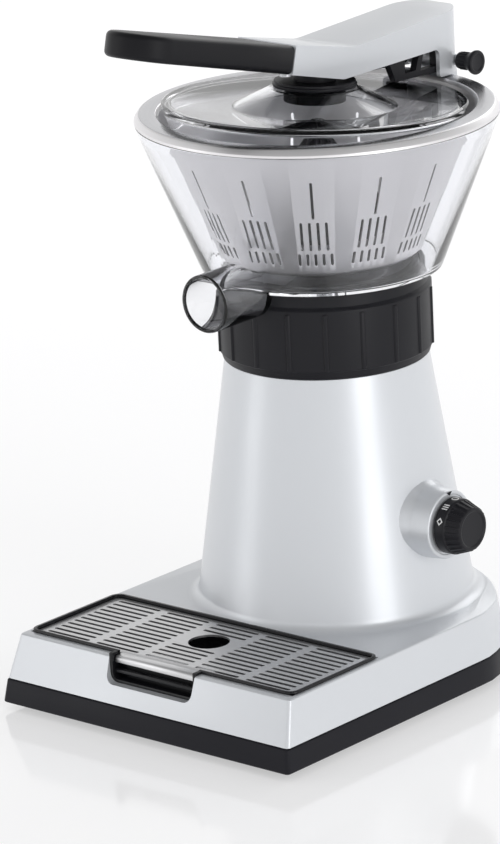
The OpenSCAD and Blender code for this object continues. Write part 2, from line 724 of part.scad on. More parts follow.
module arm_grip() color(black) on_axis() translate([0, -joint_y, arm_low + rise * joint_y])
  rotate([-grip_slope, 0, 0]) difference() {
    l = (tip_reach - joint_y) / cos(grip_slope) - 1;
    intersection() {
      side_profile(arm_hw) union() {
        translate([-l + 4, 0]) square([l - 4.3, grip_t]);
        translate([-l, 4]) square([l - 0.3, grip_t - 8]);
        translate([-l + 4, 4]) circle(r = 4);
        translate([-l + 4, grip_t - 4]) circle(r = 4);
      }
      union() {
        translate([-arm_hw, -l + arm_hw, -10]) cube([arm_w, l, 40]);
        translate([0, -l + arm_hw, -10]) cylinder(h = 40, r = arm_hw);
      }
    }
    translate([-11, -l + 20, 4.6]) cube([22, l, 6]);
  }

module press_pivot() color(steel) on_axis() translate([0, 0, press_z])
  along_x(-arm_hw + arm_wall + 1, arm_hw - arm_wall - 1, 2.6, 2.6);

module tilted() {
  on_axis() translate([0, 0, press_z]) rotate([-lid_tilt, 0, 0]) translate([0, 0, -press_z]) children();
}

module press_hub() color(black) tilted() difference() {
  union() {
    translate([0, 0, hub_z]) cylinder(h = arm_low - 2.2 - hub_z, r = hub_r);
    translate([0, 0, hub_z]) cylinder(h = press_z + 3 - hub_z, r = 11);
    translate([0, 0, hub_z - 9]) cylinder(h = 10, r = hub_neck);
  }
  translate([0, 0, press_z]) along_x(-40, 40, 2.6 + fit, 2.6 + fit);
}

module press_lid() color(clear) tilted() difference() {
  rotate_extrude()
    polygon([[hub_neck + 0.2, hub_z - 0.4], [hub_r + 1, hub_z - 0.4], [dome_r, rim_z + 0.4], [lid_r - 1, lid_z],
      [lid_r, lid_z - 0.8], [lid_r - 3.6, lid_z - 11.4], [lid_r - 3.6 - lid_t, lid_z - 11.4],
      [lid_r - 1.4 - lid_t, lid_z - lid_t - 0.4], [dome_r, rim_z + 0.4 - lid_t - 0.3],
      [hub_r, hub_z - 0.4 - lid_t], [hub_neck + 0.2, hub_z - 0.4 - lid_t]]);
  for (a = [0 : 90 : 270]) rotate([0, 0, a + 45]) translate([lid_r - 12, 0, 0]) cylinder(h = big, r = 1.4);
}

module hinge_pin() color(steel) on_axis() translate([0, pin_y, pin_z])
  along_x(-arm_hw - 1.5, arm_hw + 9, pin_r, pin_r);

module pin_handle() color(black) on_axis() translate([0, pin_y, pin_z]) difference() {
  union() {
    along_x(arm_hw + 0.4, arm_hw + 8.6, 4.5, 4.5);
    along_x(arm_hw + 7, arm_hw + 10.6, 4.5, 6.7);
    along_x(arm_hw + 10.6, arm_hw + 12.6, 6.7, 6.5);
  }
  along_x(0, arm_hw + 9, pin_r, pin_r);
}

// ---------- output ----------
body_shell();
column_shell();
rear_strut();
pointer_mark();
base_cover();
rubber_feet();
base_screws();
cord_gland();
drip_tray();
drip_grid();
lock_collar();
juice_bowl();
bowl_seal();
strainer_basket();
reamer_cone();
drive_spindle();
output_gear();
shaft_seal();
upper_bush();
lower_bush();
gearbox_housing();
gearbox_cover();
gearbox_screws();
idler_gear();
idler_pin();
motor_pinion();
motor_shaft();
motor_armature();
motor_can();
motor_end_cap();
motor_damper();
motor_screws();
selector_knob();
selector_shaft();
selector_switch();
control_board();
board_parts();
lever_arm();
arm_liner();
arm_grip();
liner_screws();
hinge_pin();
pin_handle();
press_pivot();
press_hub();
press_lid();
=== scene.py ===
"""Looks for the lever citrus press: shells, clear bowl and lid, steel strainer and the studio."""

import logging
import math
from dataclasses import dataclass, field
from enum import Enum
from typing import Callable, Iterable, Sequence

import bmesh
import bpy
from mathutils import Matrix, Vector


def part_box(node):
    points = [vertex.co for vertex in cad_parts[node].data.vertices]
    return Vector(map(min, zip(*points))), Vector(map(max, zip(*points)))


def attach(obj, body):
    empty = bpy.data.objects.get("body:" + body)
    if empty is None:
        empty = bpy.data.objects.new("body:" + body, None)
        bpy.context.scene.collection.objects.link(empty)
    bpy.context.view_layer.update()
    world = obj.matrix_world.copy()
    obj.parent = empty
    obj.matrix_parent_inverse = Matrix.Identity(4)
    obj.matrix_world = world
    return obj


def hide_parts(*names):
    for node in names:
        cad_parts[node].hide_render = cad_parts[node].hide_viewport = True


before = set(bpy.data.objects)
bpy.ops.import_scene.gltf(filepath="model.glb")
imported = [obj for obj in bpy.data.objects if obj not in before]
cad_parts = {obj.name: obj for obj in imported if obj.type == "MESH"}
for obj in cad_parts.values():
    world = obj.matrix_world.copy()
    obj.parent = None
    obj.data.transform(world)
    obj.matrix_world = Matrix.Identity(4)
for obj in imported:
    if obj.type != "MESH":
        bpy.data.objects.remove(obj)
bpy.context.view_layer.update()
LOG = logging.getLogger("citrus_press")
MM = 0.001
TURN = 2.0 * math.pi
Profile = list[tuple[float, float]]


class Way(Enum):
    """How two closed meshes are joined."""

    JOIN = "UNION"
    CUT = "DIFFERENCE"
    KEEP = "INTERSECT"


# ---------------------------------------------------------------- geometry


def arc_path(corners: Sequence[tuple[float, float, float]], closed: bool = True, steps: int = 5) -> Profile:
    """Rounds the corners of an outline.

    Args:
        corners: (x, y, radius) of each corner, in order; radius 0 leaves it sharp.
        closed: whether the last corner joins the first.
        steps: chords in each rounded corner.

    Returns:
        The outline's points.
    """
    points: Profile = []
    count = len(corners)
    for i, (x, y, radius) in enumerate(corners):
        here = Vector((x, y))
        if radius <= 0 or (not closed and i in (0, count - 1)):
            points.append((x, y))
            continue
        before = Vector(corners[i - 1][:2]) - here
        after = Vector(corners[(i + 1) % count][:2]) - here
        half = before.angle(after) / 2
        reach = min(radius / math.tan(half), before.length * 0.49, after.length * 0.49)
        radius = reach * math.tan(half)
        centre = here + (before.normalized() + after.normalized()).normalized() * (radius / math.sin(half))
        start = here + before.normalized() * reach - centre
        end = here + after.normalized() * reach - centre
        sweep = start.angle_signed(end)
        for k in range(steps + 1):
            turned = Matrix.Rotation(-sweep * k / steps, 2) @ start
            points.append((centre.x + turned.x, centre.y + turned.y))
    return points


def lathe(profile: Profile, steps: int = 128, closed: bool = True) -> bmesh.types.BMesh:
    """Spins an outline of (radius, height) points, in millimetres, round the Z axis.

    Args:
        profile: the outline.
        steps: sides of the turned shape.
        closed: whether the outline's last point joins its first.

    Returns:
        The turned mesh, in metres.
    """
    bm = bmesh.new()
    verts = [bm.verts.new((r * MM, 0.0, z * MM)) for r, z in profile]
    pairs = zip(verts, verts[1:] + verts[:1]) if closed else zip(verts, verts[1:])
    edges = [bm.edges.new(pair) for pair in pairs]
    bmesh.ops.spin(bm, geom=verts + edges, cent=(0, 0, 0), axis=(0, 0, 1), dvec=(0, 0, 0),
                   angle=TURN, steps=steps, use_merge=True)
    bmesh.ops.remove_doubles(bm, verts=bm.verts, dist=1e-7)
    loose = [e for e in bm.edges if not e.link_faces]
    bmesh.ops.delete(bm, geom=loose, context="EDGES")
    bmesh.ops.recalc_face_normals(bm, faces=bm.faces)
    return bm


def prism(outline: Profile, height: float, base: float = 0.0) -> bmesh.types.BMesh:
    """A straight prism.

    Args:
        outline: the plan's points, in millimetres.
        height: how far it rises along Z.
        base: the height it starts from.

    Returns:
        The closed mesh, in metres.
    """
    bm = bmesh.new()
    face = bm.faces.new([bm.verts.new((x * MM, y * MM, base * MM)) for x, y in outline])
    grown = bmesh.ops.extrude_face_region(bm, geom=[face])
    top = [g for g in grown["geom"] if isinstance(g, bmesh.types.BMVert)]
    bmesh.ops.translate(bm, verts=top, vec=(0, 0, height * MM))
    bmesh.ops.recalc_face_normals(bm, faces=bm.faces)
    return bm


def box_mesh(low: Sequence[float], high: Sequence[float]) -> bmesh.types.BMesh:
    """A plain box between two corners, in millimetres, for cutting with."""
    return prism([(low[0], low[1]), (high[0], low[1]), (high[0], high[1]), (low[0], high[1])],
                 high[2] - low[2], low[2])


def side_prism(outline: Profile, half: float) -> bmesh.types.BMesh:
    """A prism whose outline is (y, z) and which runs from x = -half to half, in millimetres."""
    bm = prism(outline, 2 * half, -half)
    turn = Matrix(((0, 0, 1), (1, 0, 0), (0, 1, 0)))
    bmesh.ops.transform(bm, matrix=turn.to_4x4(), verts=bm.verts)
    bmesh.ops.recalc_face_normals(bm, faces=bm.faces)
    return bm


def rod(radius: float, start: float, end: float, sides: int = 32) -> bmesh.types.BMesh:
    """A round bar along Z between two heights, in millimetres."""
    bm = bmesh.new()
    place = Matrix.Translation((0, 0, (start + end) / 2 * MM))
    bmesh.ops.create_cone(bm, cap_ends=True, segments=sides, radius1=radius * MM, radius2=radius * MM,
                          depth=(end - start) * MM, matrix=place)
    return bm


def moved(bm: bmesh.types.BMesh, matrix: Matrix) -> bmesh.types.BMesh:
    """The same mesh after a transform."""
    bmesh.ops.transform(bm, matrix=matrix, verts=bm.verts)
    return bm


def shift(x: float, y: float, z: float) -> Matrix:
    """A move in millimetres."""
    return Matrix.Translation((x * MM, y * MM, z * MM))


def turned(angle: float, axis: str) -> Matrix:
    """A turn in degrees about an axis through the origin."""
    return Matrix.Rotation(math.radians(angle), 4, axis)


def along_x(bm: bmesh.types.BMesh) -> bmesh.types.BMesh:
    """Lays a mesh made along Z so that it points to +X."""
    return moved(bm, turned(90, "Y"))


def edges_over(bm: bmesh.types.BMesh, degrees: float) -> list[bmesh.types.BMEdge]:
    """The outer edges sharper than an angle."""
    limit = math.radians(degrees)
    return [e for e in bm.edges if len(e.link_faces) == 2 and e.calc_face_angle(0.0) > limit and e.is_convex]


def soften(bm: bmesh.types.BMesh, radius: float, degrees: float = 40.0, segments: int = 3,
           where: Callable[[Vector], bool] | None = None) -> bmesh.types.BMesh:
    """Rounds the sharp outer edges.

    Args:
        bm: the mesh.
        radius: of the rounding, in millimetres.
        degrees: only edges sharper than this are rounded.
        segments: chords across the rounding.
        where: keeps the edges whose middle passes this test.

    Returns:
        The same mesh.
    """
    edges = edges_over(bm, degrees)
    if where:
        edges = [e for e in edges if where((e.verts[0].co + e.verts[1].co) / 2 / MM)]
    bmesh.ops.bevel(bm, geom=edges, offset=radius * MM, offset_type="OFFSET", affect="EDGES",
                    segments=segments, profile=0.5, material=-1, clamp_overlap=True)
    return bm


def merge(*parts: bmesh.types.BMesh) -> bmesh.types.BMesh:
    """Puts separate closed shells into one mesh."""
    whole = bmesh.new()
    for part in parts:
        mesh = bpy.data.meshes.new("part")
        part.to_mesh(mesh)
        whole.from_mesh(mesh)
        bpy.data.meshes.remove(mesh)
        part.free()
    return whole


def boolean(base: bmesh.types.BMesh, tool: bmesh.types.BMesh, way: Way) -> bmesh.types.BMesh:
    """Joins, cuts or intersects two closed meshes.

    Args:
        base: the mesh that is changed.
        tool: the mesh it is changed by.
        way: what is done.

    Returns:
        A new mesh; both inputs are freed.
    """
    objects = []
    for bm in (base, tool):
        mesh = bpy.data.meshes.new("work")
        bm.to_mesh(mesh)
        bm.free()
        objects.append(bpy.data.objects.new("work", mesh))
        bpy.context.scene.collection.objects.link(objects[-1])
    step = objects[0].modifiers.new("work", "BOOLEAN")
    step.object = objects[1]
    step.operation = way.value
    step.solver = "EXACT"
    bpy.context.view_layer.update()
    result = bmesh.new()
    worked = objects[0].evaluated_get(bpy.context.evaluated_depsgraph_get())
    result.from_mesh(worked.to_mesh())
    worked.to_mesh_clear()
    for obj in objects:
        mesh = obj.data
        bpy.data.objects.remove(obj)
        bpy.data.meshes.remove(mesh)
    bmesh.ops.remove_doubles(result, verts=result.verts, dist=2e-6)
    bmesh.ops.dissolve_degenerate(result, dist=2e-6, edges=result.edges)
    return result


def from_node(name: str) -> bmesh.types.BMesh:
    """A merged copy of a CAD node's mesh with its flat faces joined up."""
    bm = bmesh.new()
    bm.from_mesh(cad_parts[name].data)
    bmesh.ops.remove_doubles(bm, verts=bm.verts, dist=1e-6)
    bmesh.ops.dissolve_limit(bm, angle_limit=math.radians(0.6), verts=bm.verts, edges=bm.edges)
    return bm


def finished(name: str, bm: bmesh.types.BMesh, material: bpy.types.Material, body: str,
             stands_for: Iterable[str] = (), sharp: float = 32.0) -> bpy.types.Object:
    """Turns a mesh into a piece of the object.

    Args:
        name: the piece's name.
        bm: its mesh, already in place.
        material: its finish.
        body: the CAD body it rides on.
        stands_for: CAD nodes that this piece is shown instead of.
        sharp: edges above this many degrees stay crisp.

    Returns:
        The new object.
    """
    limit = math.radians(sharp)
    for face in bm.faces:
        face.smooth = True
    for edge in bm.edges:
        edge.smooth = len(edge.link_faces) != 2 or edge.calc_face_angle(0.0) < limit
    mesh = bpy.data.meshes.new(name)
    bm.to_mesh(mesh)
    bm.free()
    mesh.materials.append(material)
    obj = bpy.data.objects.new(name, mesh)
    bpy.context.scene.collection.objects.link(obj)
    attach(obj, body)
    if stands_for:
        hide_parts(*stands_for)
    LOG.info("%s: %d faces", name, len(mesh.polygons))
    return obj


# ---------------------------------------------------------------- finishes


class Effects:
    """Shader groups that several finishes share."""

    @staticmethod
    def grain() -> bpy.types.NodeTree:
        """Fine moulded or sprayed texture: a height and a mottling mask, built once."""
        found = bpy.data.node_groups.get("fine_grain")
        if found:
            return found
        tree = bpy.data.node_groups.new("fine_grain", "ShaderNodeTree")
        for label, default in (("Scale", 900.0), ("Mottle scale", 18.0)):
            socket = tree.interface.new_socket(label, in_out="INPUT", socket_type="NodeSocketFloat")
            socket.default_value = default
        for label in ("Height", "Mottle"):
            tree.interface.new_socket(label, in_out="OUTPUT", socket_type="NodeSocketFloat")
        nodes, links = tree.nodes, tree.links
        ins, outs = nodes.new("NodeGroupInput"), nodes.new("NodeGroupOutput")
        place = nodes.new("ShaderNodeTexCoord")
        for label, socket, detail in (("Scale", "Height", 2.0), ("Mottle scale", "Mottle", 3.0)):
            noise = nodes.new("ShaderNodeTexNoise")
            noise.inputs["Detail"].default_value = detail
            links.new(place.outputs["Object"], noise.inputs["Vector"])
            links.new(ins.outputs[label], noise.inputs["Scale"])
            links.new(noise.outputs["Fac"], outs.inputs[socket])
        return tree

    @staticmethod
    def brushing() -> bpy.types.NodeTree:
        """Straight or turned brushing lines: a height that varies across the lines, built once."""
        found = bpy.data.node_groups.get("brushing")
        if found:
            return found
        tree = bpy.data.node_groups.new("brushing", "ShaderNodeTree")
        vector = tree.interface.new_socket("Vector", in_out="INPUT", socket_type="NodeSocketVector")
        vector.default_value = (0, 0, 0)
        tree.interface.new_socket("Height", in_out="OUTPUT", socket_type="NodeSocketFloat")
        nodes, links = tree.nodes, tree.links
        ins, outs = nodes.new("NodeGroupInput"), nodes.new("NodeGroupOutput")
        noise = nodes.new("ShaderNodeTexNoise")
        noise.inputs["Scale"].default_value = 1.0
        noise.inputs["Detail"].default_value = 4.0
        noise.inputs["Roughness"].default_value = 0.7
        links.new(ins.outputs["Vector"], noise.inputs["Vector"])
        links.new(noise.outputs["Fac"], outs.inputs["Height"])
        return tree


@dataclass(frozen=True)
class Finish:
    """What every finish has: a name and the plain values of its Principled shader."""

    name: str
    color: tuple[float, float, float]
    roughness: float = 0.5
    metallic: float = 0.0

    def start(self) -> tuple[bpy.types.Material, bpy.types.Node, bpy.types.NodeTree]:
        """A new material with its shader's plain values set."""
        material = bpy.data.materials.new(self.name)
        material.use_nodes = True
        tree = material.node_tree
        shader = tree.nodes["Principled BSDF"]
        shader.inputs["Base Color"].default_value = (*self.color, 1.0)
        shader.inputs["Roughness"].default_value = self.roughness
        shader.inputs["Metallic"].default_value = self.metallic
        material.diffuse_color = (*self.color, 1.0)
        return material, shader, tree

    def ramp(self, tree: bpy.types.NodeTree, source: bpy.types.NodeSocket, low: float,
             high: float) -> bpy.types.NodeSocket:
        """Maps a 0 to 1 mask onto a range.

        Args:
            tree: the material's nodes.
            source: the mask.
            low: the value at 0.
            high: the value at 1.

        Returns:
            The mapped value.
        """
        node = tree.nodes.new("ShaderNodeMapRange")
        node.inputs["From Min"].default_value = 0.3
        node.inputs["From Max"].default_value = 0.7
        node.inputs["To Min"].default_value = low
        node.inputs["To Max"].default_value = high
        tree.links.new(source, node.inputs["Value"])
        return node.outputs["Result"]

    def bump(self, tree: bpy.types.NodeTree, shader: bpy.types.Node, height: bpy.types.NodeSocket,
             strength: float, distance: float) -> None:
        """Feeds a height into the shader's normal.

        Args:
            tree: the material's nodes.
            shader: the Principled shader.
            height: the height field.
            strength: of the bump.
            distance: the height's real size, in metres.
        """
        node = tree.nodes.new("ShaderNodeBump")
        node.inputs["Strength"].default_value = strength
        node.inputs["Distance"].default_value = distance
        tree.links.new(height, node.inputs["Height"])
        tree.links.new(node.outputs["Normal"], shader.inputs["Normal"])


@dataclass(frozen=True)
class Grained(Finish):
    """Moulded plastic, rubber or sprayed paint: mottled colour and gloss over a fine grain."""

    grain: float = 900.0
    strength: float = 0.12
    depth: float = 0.00012
    spread: float = 0.06
    tint: float = 0.12
    coat: float = 0.0
    coat_roughness: float = 0.1
    specular: float = 0.5

    def build(self) -> bpy.types.Material:
        """The finished material."""
        material, shader, tree = self.start()
        shader.inputs["Coat Weight"].default_value = self.coat
        shader.inputs["Coat Roughness"].default_value = self.coat_roughness
        shader.inputs["Specular IOR Level"].default_value = self.specular
        group = tree.nodes.new("ShaderNodeGroup")
        group.node_tree = Effects.grain()
        group.inputs["Scale"].default_value = self.grain
        rough = self.ramp(tree, group.outputs["Mottle"], self.roughness - self.spread, self.roughness + self.spread)
        tree.links.new(rough, shader.inputs["Roughness"])
        mix = tree.nodes.new("ShaderNodeMix")
        mix.data_type = "RGBA"
        mix.inputs["A"].default_value = (*[c * (1 - self.tint) for c in self.color], 1)
        mix.inputs["B"].default_value = (*[min(1.0, c * (1 + self.tint)) for c in self.color], 1)
        tree.links.new(group.outputs["Mottle"], mix.inputs["Factor"])
        tree.links.new(mix.outputs["Result"], shader.inputs["Base Color"])
        self.bump(tree, shader, group.outputs["Height"], self.strength, self.depth)
        return material


@dataclass(frozen=True)
class Brushed(Finish):
    """Bright steel with fine lines, straight along X or turned round an upright axis."""

    turned: bool = False
    centre: tuple[float, float] = (0.0, 0.0)
    lines: float = 1400.0
    strength: float = 0.1
    spread: float = 0.05

    def build(self) -> bpy.types.Material:
        """The finished material."""
        material, shader, tree = self.start()
        nodes, links = tree.nodes, tree.links
        place = nodes.new("ShaderNodeTexCoord")
        mapping = nodes.new("ShaderNodeMapping")
        links.new(place.outputs["Object"], mapping.inputs["Vector"])
        if self.turned:
            mapping.inputs["Location"].default_value = (-self.centre[0], -self.centre[1], 0)
            split = nodes.new("ShaderNodeSeparateXYZ")
            links.new(mapping.outputs["Vector"], split.inputs["Vector"])
            square = [nodes.new("ShaderNodeMath") for _ in range(2)]
            for axis, node in zip("XY", square):
                node.operation = "POWER"
                node.inputs[1].default_value = 2.0
                absolute = nodes.new("ShaderNodeMath")
                absolute.operation = "ABSOLUTE"
                links.new(split.outputs[axis], absolute.inputs[0])
                links.new(absolute.outputs[0], node.inputs[0])
            total = nodes.new("ShaderNodeMath")
            links.new(square[0].outputs[0], total.inputs[0])
            links.new(square[1].outputs[0], total.inputs[1])
            root = nodes.new("ShaderNodeMath")
            root.operation = "SQRT"
            links.new(total.outputs[0], root.inputs[0])
            joined = nodes.new("ShaderNodeCombineXYZ")
            for socket, source in (("X", root.outputs[0]), ("Y", split.outputs["Z"])):
                scaled = nodes.new("ShaderNodeMath")
                scaled.operation = "MULTIPLY"
                scaled.inputs[1].default_value = self.lines
                links.new(source, scaled.inputs[0])
                links.new(scaled.outputs[0], joined.inputs[socket])
            vector = joined.outputs["Vector"]
        else:
            mapping.inputs["Scale"].default_value = (self.lines * 0.02, self.lines, self.lines)
            vector = mapping.outputs["Vector"]
        group = nodes.new("ShaderNodeGroup")
        group.node_tree = Effects.brushing()
        links.new(vector, group.inputs["Vector"])
        rough = self.ramp(tree, group.outputs["Height"], self.roughness - self.spread, self.roughness + self.spread)
        links.new(rough, shader.inputs["Roughness"])
        self.bump(tree, shader, group.outputs["Height"], self.strength, 0.00003)
        return material


@dataclass(frozen=True)
class ClearPlastic(Finish):
    """Clear moulded plastic with faint flow marks."""

    ior: float = 1.45

    def build(self) -> bpy.types.Material:
        """The finished material."""
        material, shader, tree = self.start()
        shader.inputs["Transmission Weight"].default_value = 1.0
        shader.inputs["IOR"].default_value = self.ior
        group = tree.nodes.new("ShaderNodeGroup")
        group.node_tree = Effects.grain()
        group.inputs["Scale"].default_value = 40.0
        group.inputs["Mottle scale"].default_value = 25.0
        rough = self.ramp(tree, group.outputs["Mottle"], self.roughness, self.roughness + 0.03)
        tree.links.new(rough, shader.inputs["Roughness"])
        self.bump(tree, shader, group.outputs["Height"], 0.04, 0.0003)
        return material


@dataclass
class Palette:
    """Every finish on the object, each built once."""

    centre: tuple[float, float]
    made: dict[str, bpy.types.Material] = field(default_factory=dict)

    def finishes(self) -> dict[str, Finish]:
        """The finishes by name."""
        return {
            "silver": Grained("silver_paint", (0.66, 0.68, 0.71), 0.36, 0.4, grain=2600.0, strength=0.05,
                              depth=0.00005, spread=0.03, tint=0.02, coat=0.35, coat_roughness=0.12),
            "black": Grained("black_plastic", (0.012, 0.012, 0.015), 0.4, grain=1500.0, strength=0.12,
                             specular=0.2),
            "grip": Grained("black_grip", (0.008, 0.008, 0.010), 0.42, grain=1900.0, strength=0.15,
                            spread=0.05, specular=0.17),
            "gloss": Grained("black_gloss", (0.008, 0.008, 0.010), 0.25, grain=700.0, strength=0.03,
                             specular=0.3),
            "charcoal": Grained("charcoal_plastic", (0.012, 0.012, 0.016), 0.45, grain=1300.0,
                                strength=0.12, specular=0.16),
            "rubber": Grained("foot_rubber", (0.012, 0.012, 0.012), 0.75, grain=800.0, strength=0.25),
            # the same strainer steel, darker: painted shade for the rim's upward-facing flat top
            "rim": Brushed("rim_steel_painted_shade", (0.5, 0.5, 0.52), 0.2, 1.0, turned=True, centre=self.centre,
                           lines=900.0, strength=0.06),
            "basket": Brushed("strainer_steel", (0.80, 0.79, 0.80), 0.38, 1.0, turned=True, centre=self.centre,
                              lines=700.0, strength=0.04),
            "grid": Brushed("grid_steel", (0.66, 0.66, 0.67), 0.34, 1.0, lines=1500.0, strength=0.12),
            "steel": Brushed("plain_steel", (0.55, 0.56, 0.58), 0.28, 1.0, lines=800.0, strength=0.05),
            "clear": ClearPlastic("clear_plastic", (0.95, 0.955, 0.975), 0.0),
            "white": Grained("white_print", (0.8, 0.8, 0.8), 0.5, grain=900.0, strength=0.03),
            "gear": Grained("gear_plastic", (0.72, 0.69, 0.58), 0.4, grain=1200.0, strength=0.08),
            "bronze": Grained("bush_bronze", (0.55, 0.36, 0.16), 0.4, 1.0, grain=1500.0, strength=0.1),
            "copper": Grained("winding_copper", (0.52, 0.2, 0.08), 0.35, 1.0, grain=1500.0, strength=0.3),
            "housing": Grained("housing_plastic", (0.04, 0.04, 0.045), 0.5, grain=1200.0, strength=0.12),
            "board": Grained("board_lacquer", (0.02, 0.12, 0.05), 0.3, grain=600.0, strength=0.06),
            "parts": Grained("part_resin", (0.03, 0.03, 0.12), 0.35, grain=900.0, strength=0.06),
            "switch": Grained("switch_plastic", (0.7, 0.7, 0.66), 0.45, grain=900.0, strength=0.08),
        }

    def get(self, name: str) -> bpy.types.Material:
        """The material of that name, built on first use."""
        if name not in self.made:
            self.made[name] = self.finishes()[name].build()
        return self.made[name]


# ---------------------------------------------------------------- sub-assemblies


@dataclass
class SubAssembly:
    """A group of pieces that shares the column's axis and the palette."""

    palette: Palette
    axis_y: float

    def put(self, name: str, bm: bmesh.types.BMesh, finish: str, body: str, slot: str, *nodes: str,
            sharp: float = 32.0) -> bpy.types.Object:
        """Places a mesh made round the column's axis and dresses it.

        Args:
            name: the piece's name.
            bm: the mesh, with the column's axis at x = y = 0.
            finish: the palette's finish.
            body: the CAD body it rides on.
            slot: a material slot name; not used.
            *nodes: CAD nodes it stands for.
            sharp: edges above this many degrees stay crisp.

        Returns:
            The piece.
        """
        moved(bm, shift(0, self.axis_y, 0))
        return finished(name, bm, self.palette.get(finish), body, nodes, sharp)

    def low(self, node: str) -> Vector:
        """A CAD node's lowest corner about the column's axis, in millimetres."""
        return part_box(node)[0] / MM - Vector((0, self.axis_y, 0))

    def high(self, node: str) -> Vector:
        """A CAD node's highest corner about the column's axis, in millimetres."""
        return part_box(node)[1] / MM - Vector((0, self.axis_y, 0))


@dataclass
class Base(SubAssembly):
    """The silver casing with its column and rear spine, and the dark skirt under it."""

    corner: float = 2.4
    rear_centre: float = 28.0
    round_centre: float = 12.0
    side_draft: float = 0.157
    front_draft: float = 0.31
    slope: float = 0.145
    foot_radius: float = 6.5
    casing_top: float = 41.0
    post_half: float = 12.5

    def plan(self, half: float, front: float, rear: float) -> Profile:
        """The base's outline at one height.

        Args:
            half: half the width.
            front: distance from the axis to the front.
            rear: distance from the axis to the back.

        Returns:
            The outline, anticlockwise from the front left corner.
        """
        front_edge = arc_path([(-half, 0, 0), (-half, -front, self.corner), (half, -front, self.corner),
                               (half, 0, 0)], closed=False)
        big, small = rear + self.rear_centre, half + 1.8
        back: Profile = []
        steps = 36
        for i in range(1, steps):
            angle = math.pi * i / steps
            along = Vector((math.cos(angle), math.sin(angle)))
            reach = min(self.to_circle(along, self.rear_centre, big), self.to_circle(along, self.round_centre, small),
                        half / max(abs(along.x), 1e-6))
            back.append((along.x * reach, along.y * reach))
        return front_edge + back

    @staticmethod
    def to_circle(along: Vector, centre: float, radius: float) -> float:
        """How far a ray from the axis runs to a circle centred in front of the axis."""
        down = along.y * centre
        return -down + math.sqrt(down * down - centre * centre + radius * radius)

    def drafted(self, z0: float, z1: float, half: float, front: float, rear: float,
                side: float, fore: float) -> bmesh.types.BMesh:
        """A closed block with the base's plan and leaning walls.

        Args:
            z0: its bottom.
            z1: its top.
            half: half its width at the bottom.
            front: its front at the bottom.
            rear: its back at the bottom.
            side: how fast the sides lean in.
            fore: how fast the front leans in.

        Returns:
            The mesh.
        """
        rise = z1 - z0
        lower = self.plan(half, front, rear)
        upper = self.plan(half - side * rise, front - fore * rise, rear - side * rise)
        bm = prism(lower, rise, z0)
        bm.verts.ensure_lookup_table()
        top = sorted((v for v in bm.verts if v.co.z > (z0 + rise / 2) * MM), key=lambda v: v.index)
        for vert, (x, y) in zip(top, upper):
            vert.co.x, vert.co.y = x * MM, y * MM
        return bm

    def cone(self, z: float) -> float:
        """The column's radius at a height."""
        return self.column_r + self.slope * (self.column_top - z)

    def build(self) -> None:
        """Makes the casing, the column, the spine, the skirt and the feet."""
        collar_low = self.low("lock_collar")
        self.column_top = collar_low.z - 0.5
        self.column_r = 55.0
        skirt_low, skirt_high = self.low("base_cover"), self.high("base_cover")
        shell_low, shell_high = self.low("body_shell"), self.high("body_shell")
        z0, top = shell_low.z, self.casing_top
        half, front, rear = shell_high.x, -shell_low.y, skirt_high.y - 1.8
        casing = self.drafted(z0, top, half, front, rear, self.side_draft, self.front_draft)
        soften(casing, 1.3, 50.0, 3, where=lambda p: p.z > top - 1)
        foot_r = self.cone(top)
        path = [(0.0, z0 + 6), (foot_r + self.foot_radius, z0 + 6)]
        path += [(foot_r + self.foot_radius - self.foot_radius * math.sin(a),
                  top + 0.02 + self.foot_radius - self.foot_radius * math.cos(a))
                 for a in [math.radians(8 * k) for k in range(0, 11)]]
        neck = self.column_r - 2.6
        path += [(self.column_r, self.column_top), (neck, self.column_top), (neck, self.high("upper_bush").z),
                 (0.0, self.high("upper_bush").z)]
        column = lathe(path, 160)
        inset = self.side_draft * (top - z0) + 1.2
        limit = prism(self.plan(half - inset, front - 10, rear - inset), 200, z0 + 3)
        ring = box_mesh((-200, -200, top + 14), (200, 200, 400))
        column = boolean(column, boolean(limit, ring, Way.JOIN), Way.KEEP)
        shell = boolean(casing, column, Way.JOIN)
        shell = boolean(shell, self.spine(), Way.JOIN)
        shell = boolean(shell, self.boss(), Way.JOIN)
        shell = boolean(shell, self.well(), Way.CUT)
        shell = boolean(shell, self.notch(front), Way.CUT)
        pin = along_x(rod(3.05, -20, 20))
        centre = (self.low("hinge_pin") + self.high("hinge_pin")) / 2
        shell = boolean(shell, moved(pin, shift(0, centre.y, centre.z)), Way.CUT)
        self.put("shell", shell, "silver", "base", "silver_paint", "body_shell", "column_shell",
                 "rear_strut", sharp=28)
        self.skirt(skirt_low, skirt_high)
        self.feet()

    def spine(self) -> bmesh.types.BMesh:
        """The strut behind the collar and bowl that carries the hinge."""
        top, r = self.column_top, self.high("lock_collar").x
        bowl_low, bowl_high = self.low("juice_bowl"), self.high("juice_bowl")
        foot, brim = 64.2, bowl_high.x
        pin = (self.low("hinge_pin") + self.high("hinge_pin")) / 2
        outline = arc_path([
            (self.column_r - 6, top - 50, 0), (self.column_r - 6, top - 3.2, 0), (r + 1.5, top - 3.2, 2),
            (r + 1.5, self.high("lock_collar").z - 4, 6), (foot + 1.6, bowl_low.z + 13.2, 4),
            (brim + 1.8, bowl_high.z, 4), (brim + 1.8, pin.z, 0), (pin.y + 6, pin.z, 0),
            (brim + 7.5, bowl_high.z - 2, 8), (foot + 10.6, bowl_low.z + 11, 14), (r + 12.7, top + 39, 20),
            (r + 11, top - 3.2, 30), (self.cone(top - 62) - 1, top - 62, 0)])
        bm = side_prism(outline, self.post_half)
        knuckle = along_x(rod(6, -self.post_half, self.post_half, 40))
        bm = boolean(bm, moved(knuckle, shift(0, pin.y, pin.z)), Way.JOIN)
        return soften(bm, 1.3, 50.0, 3)

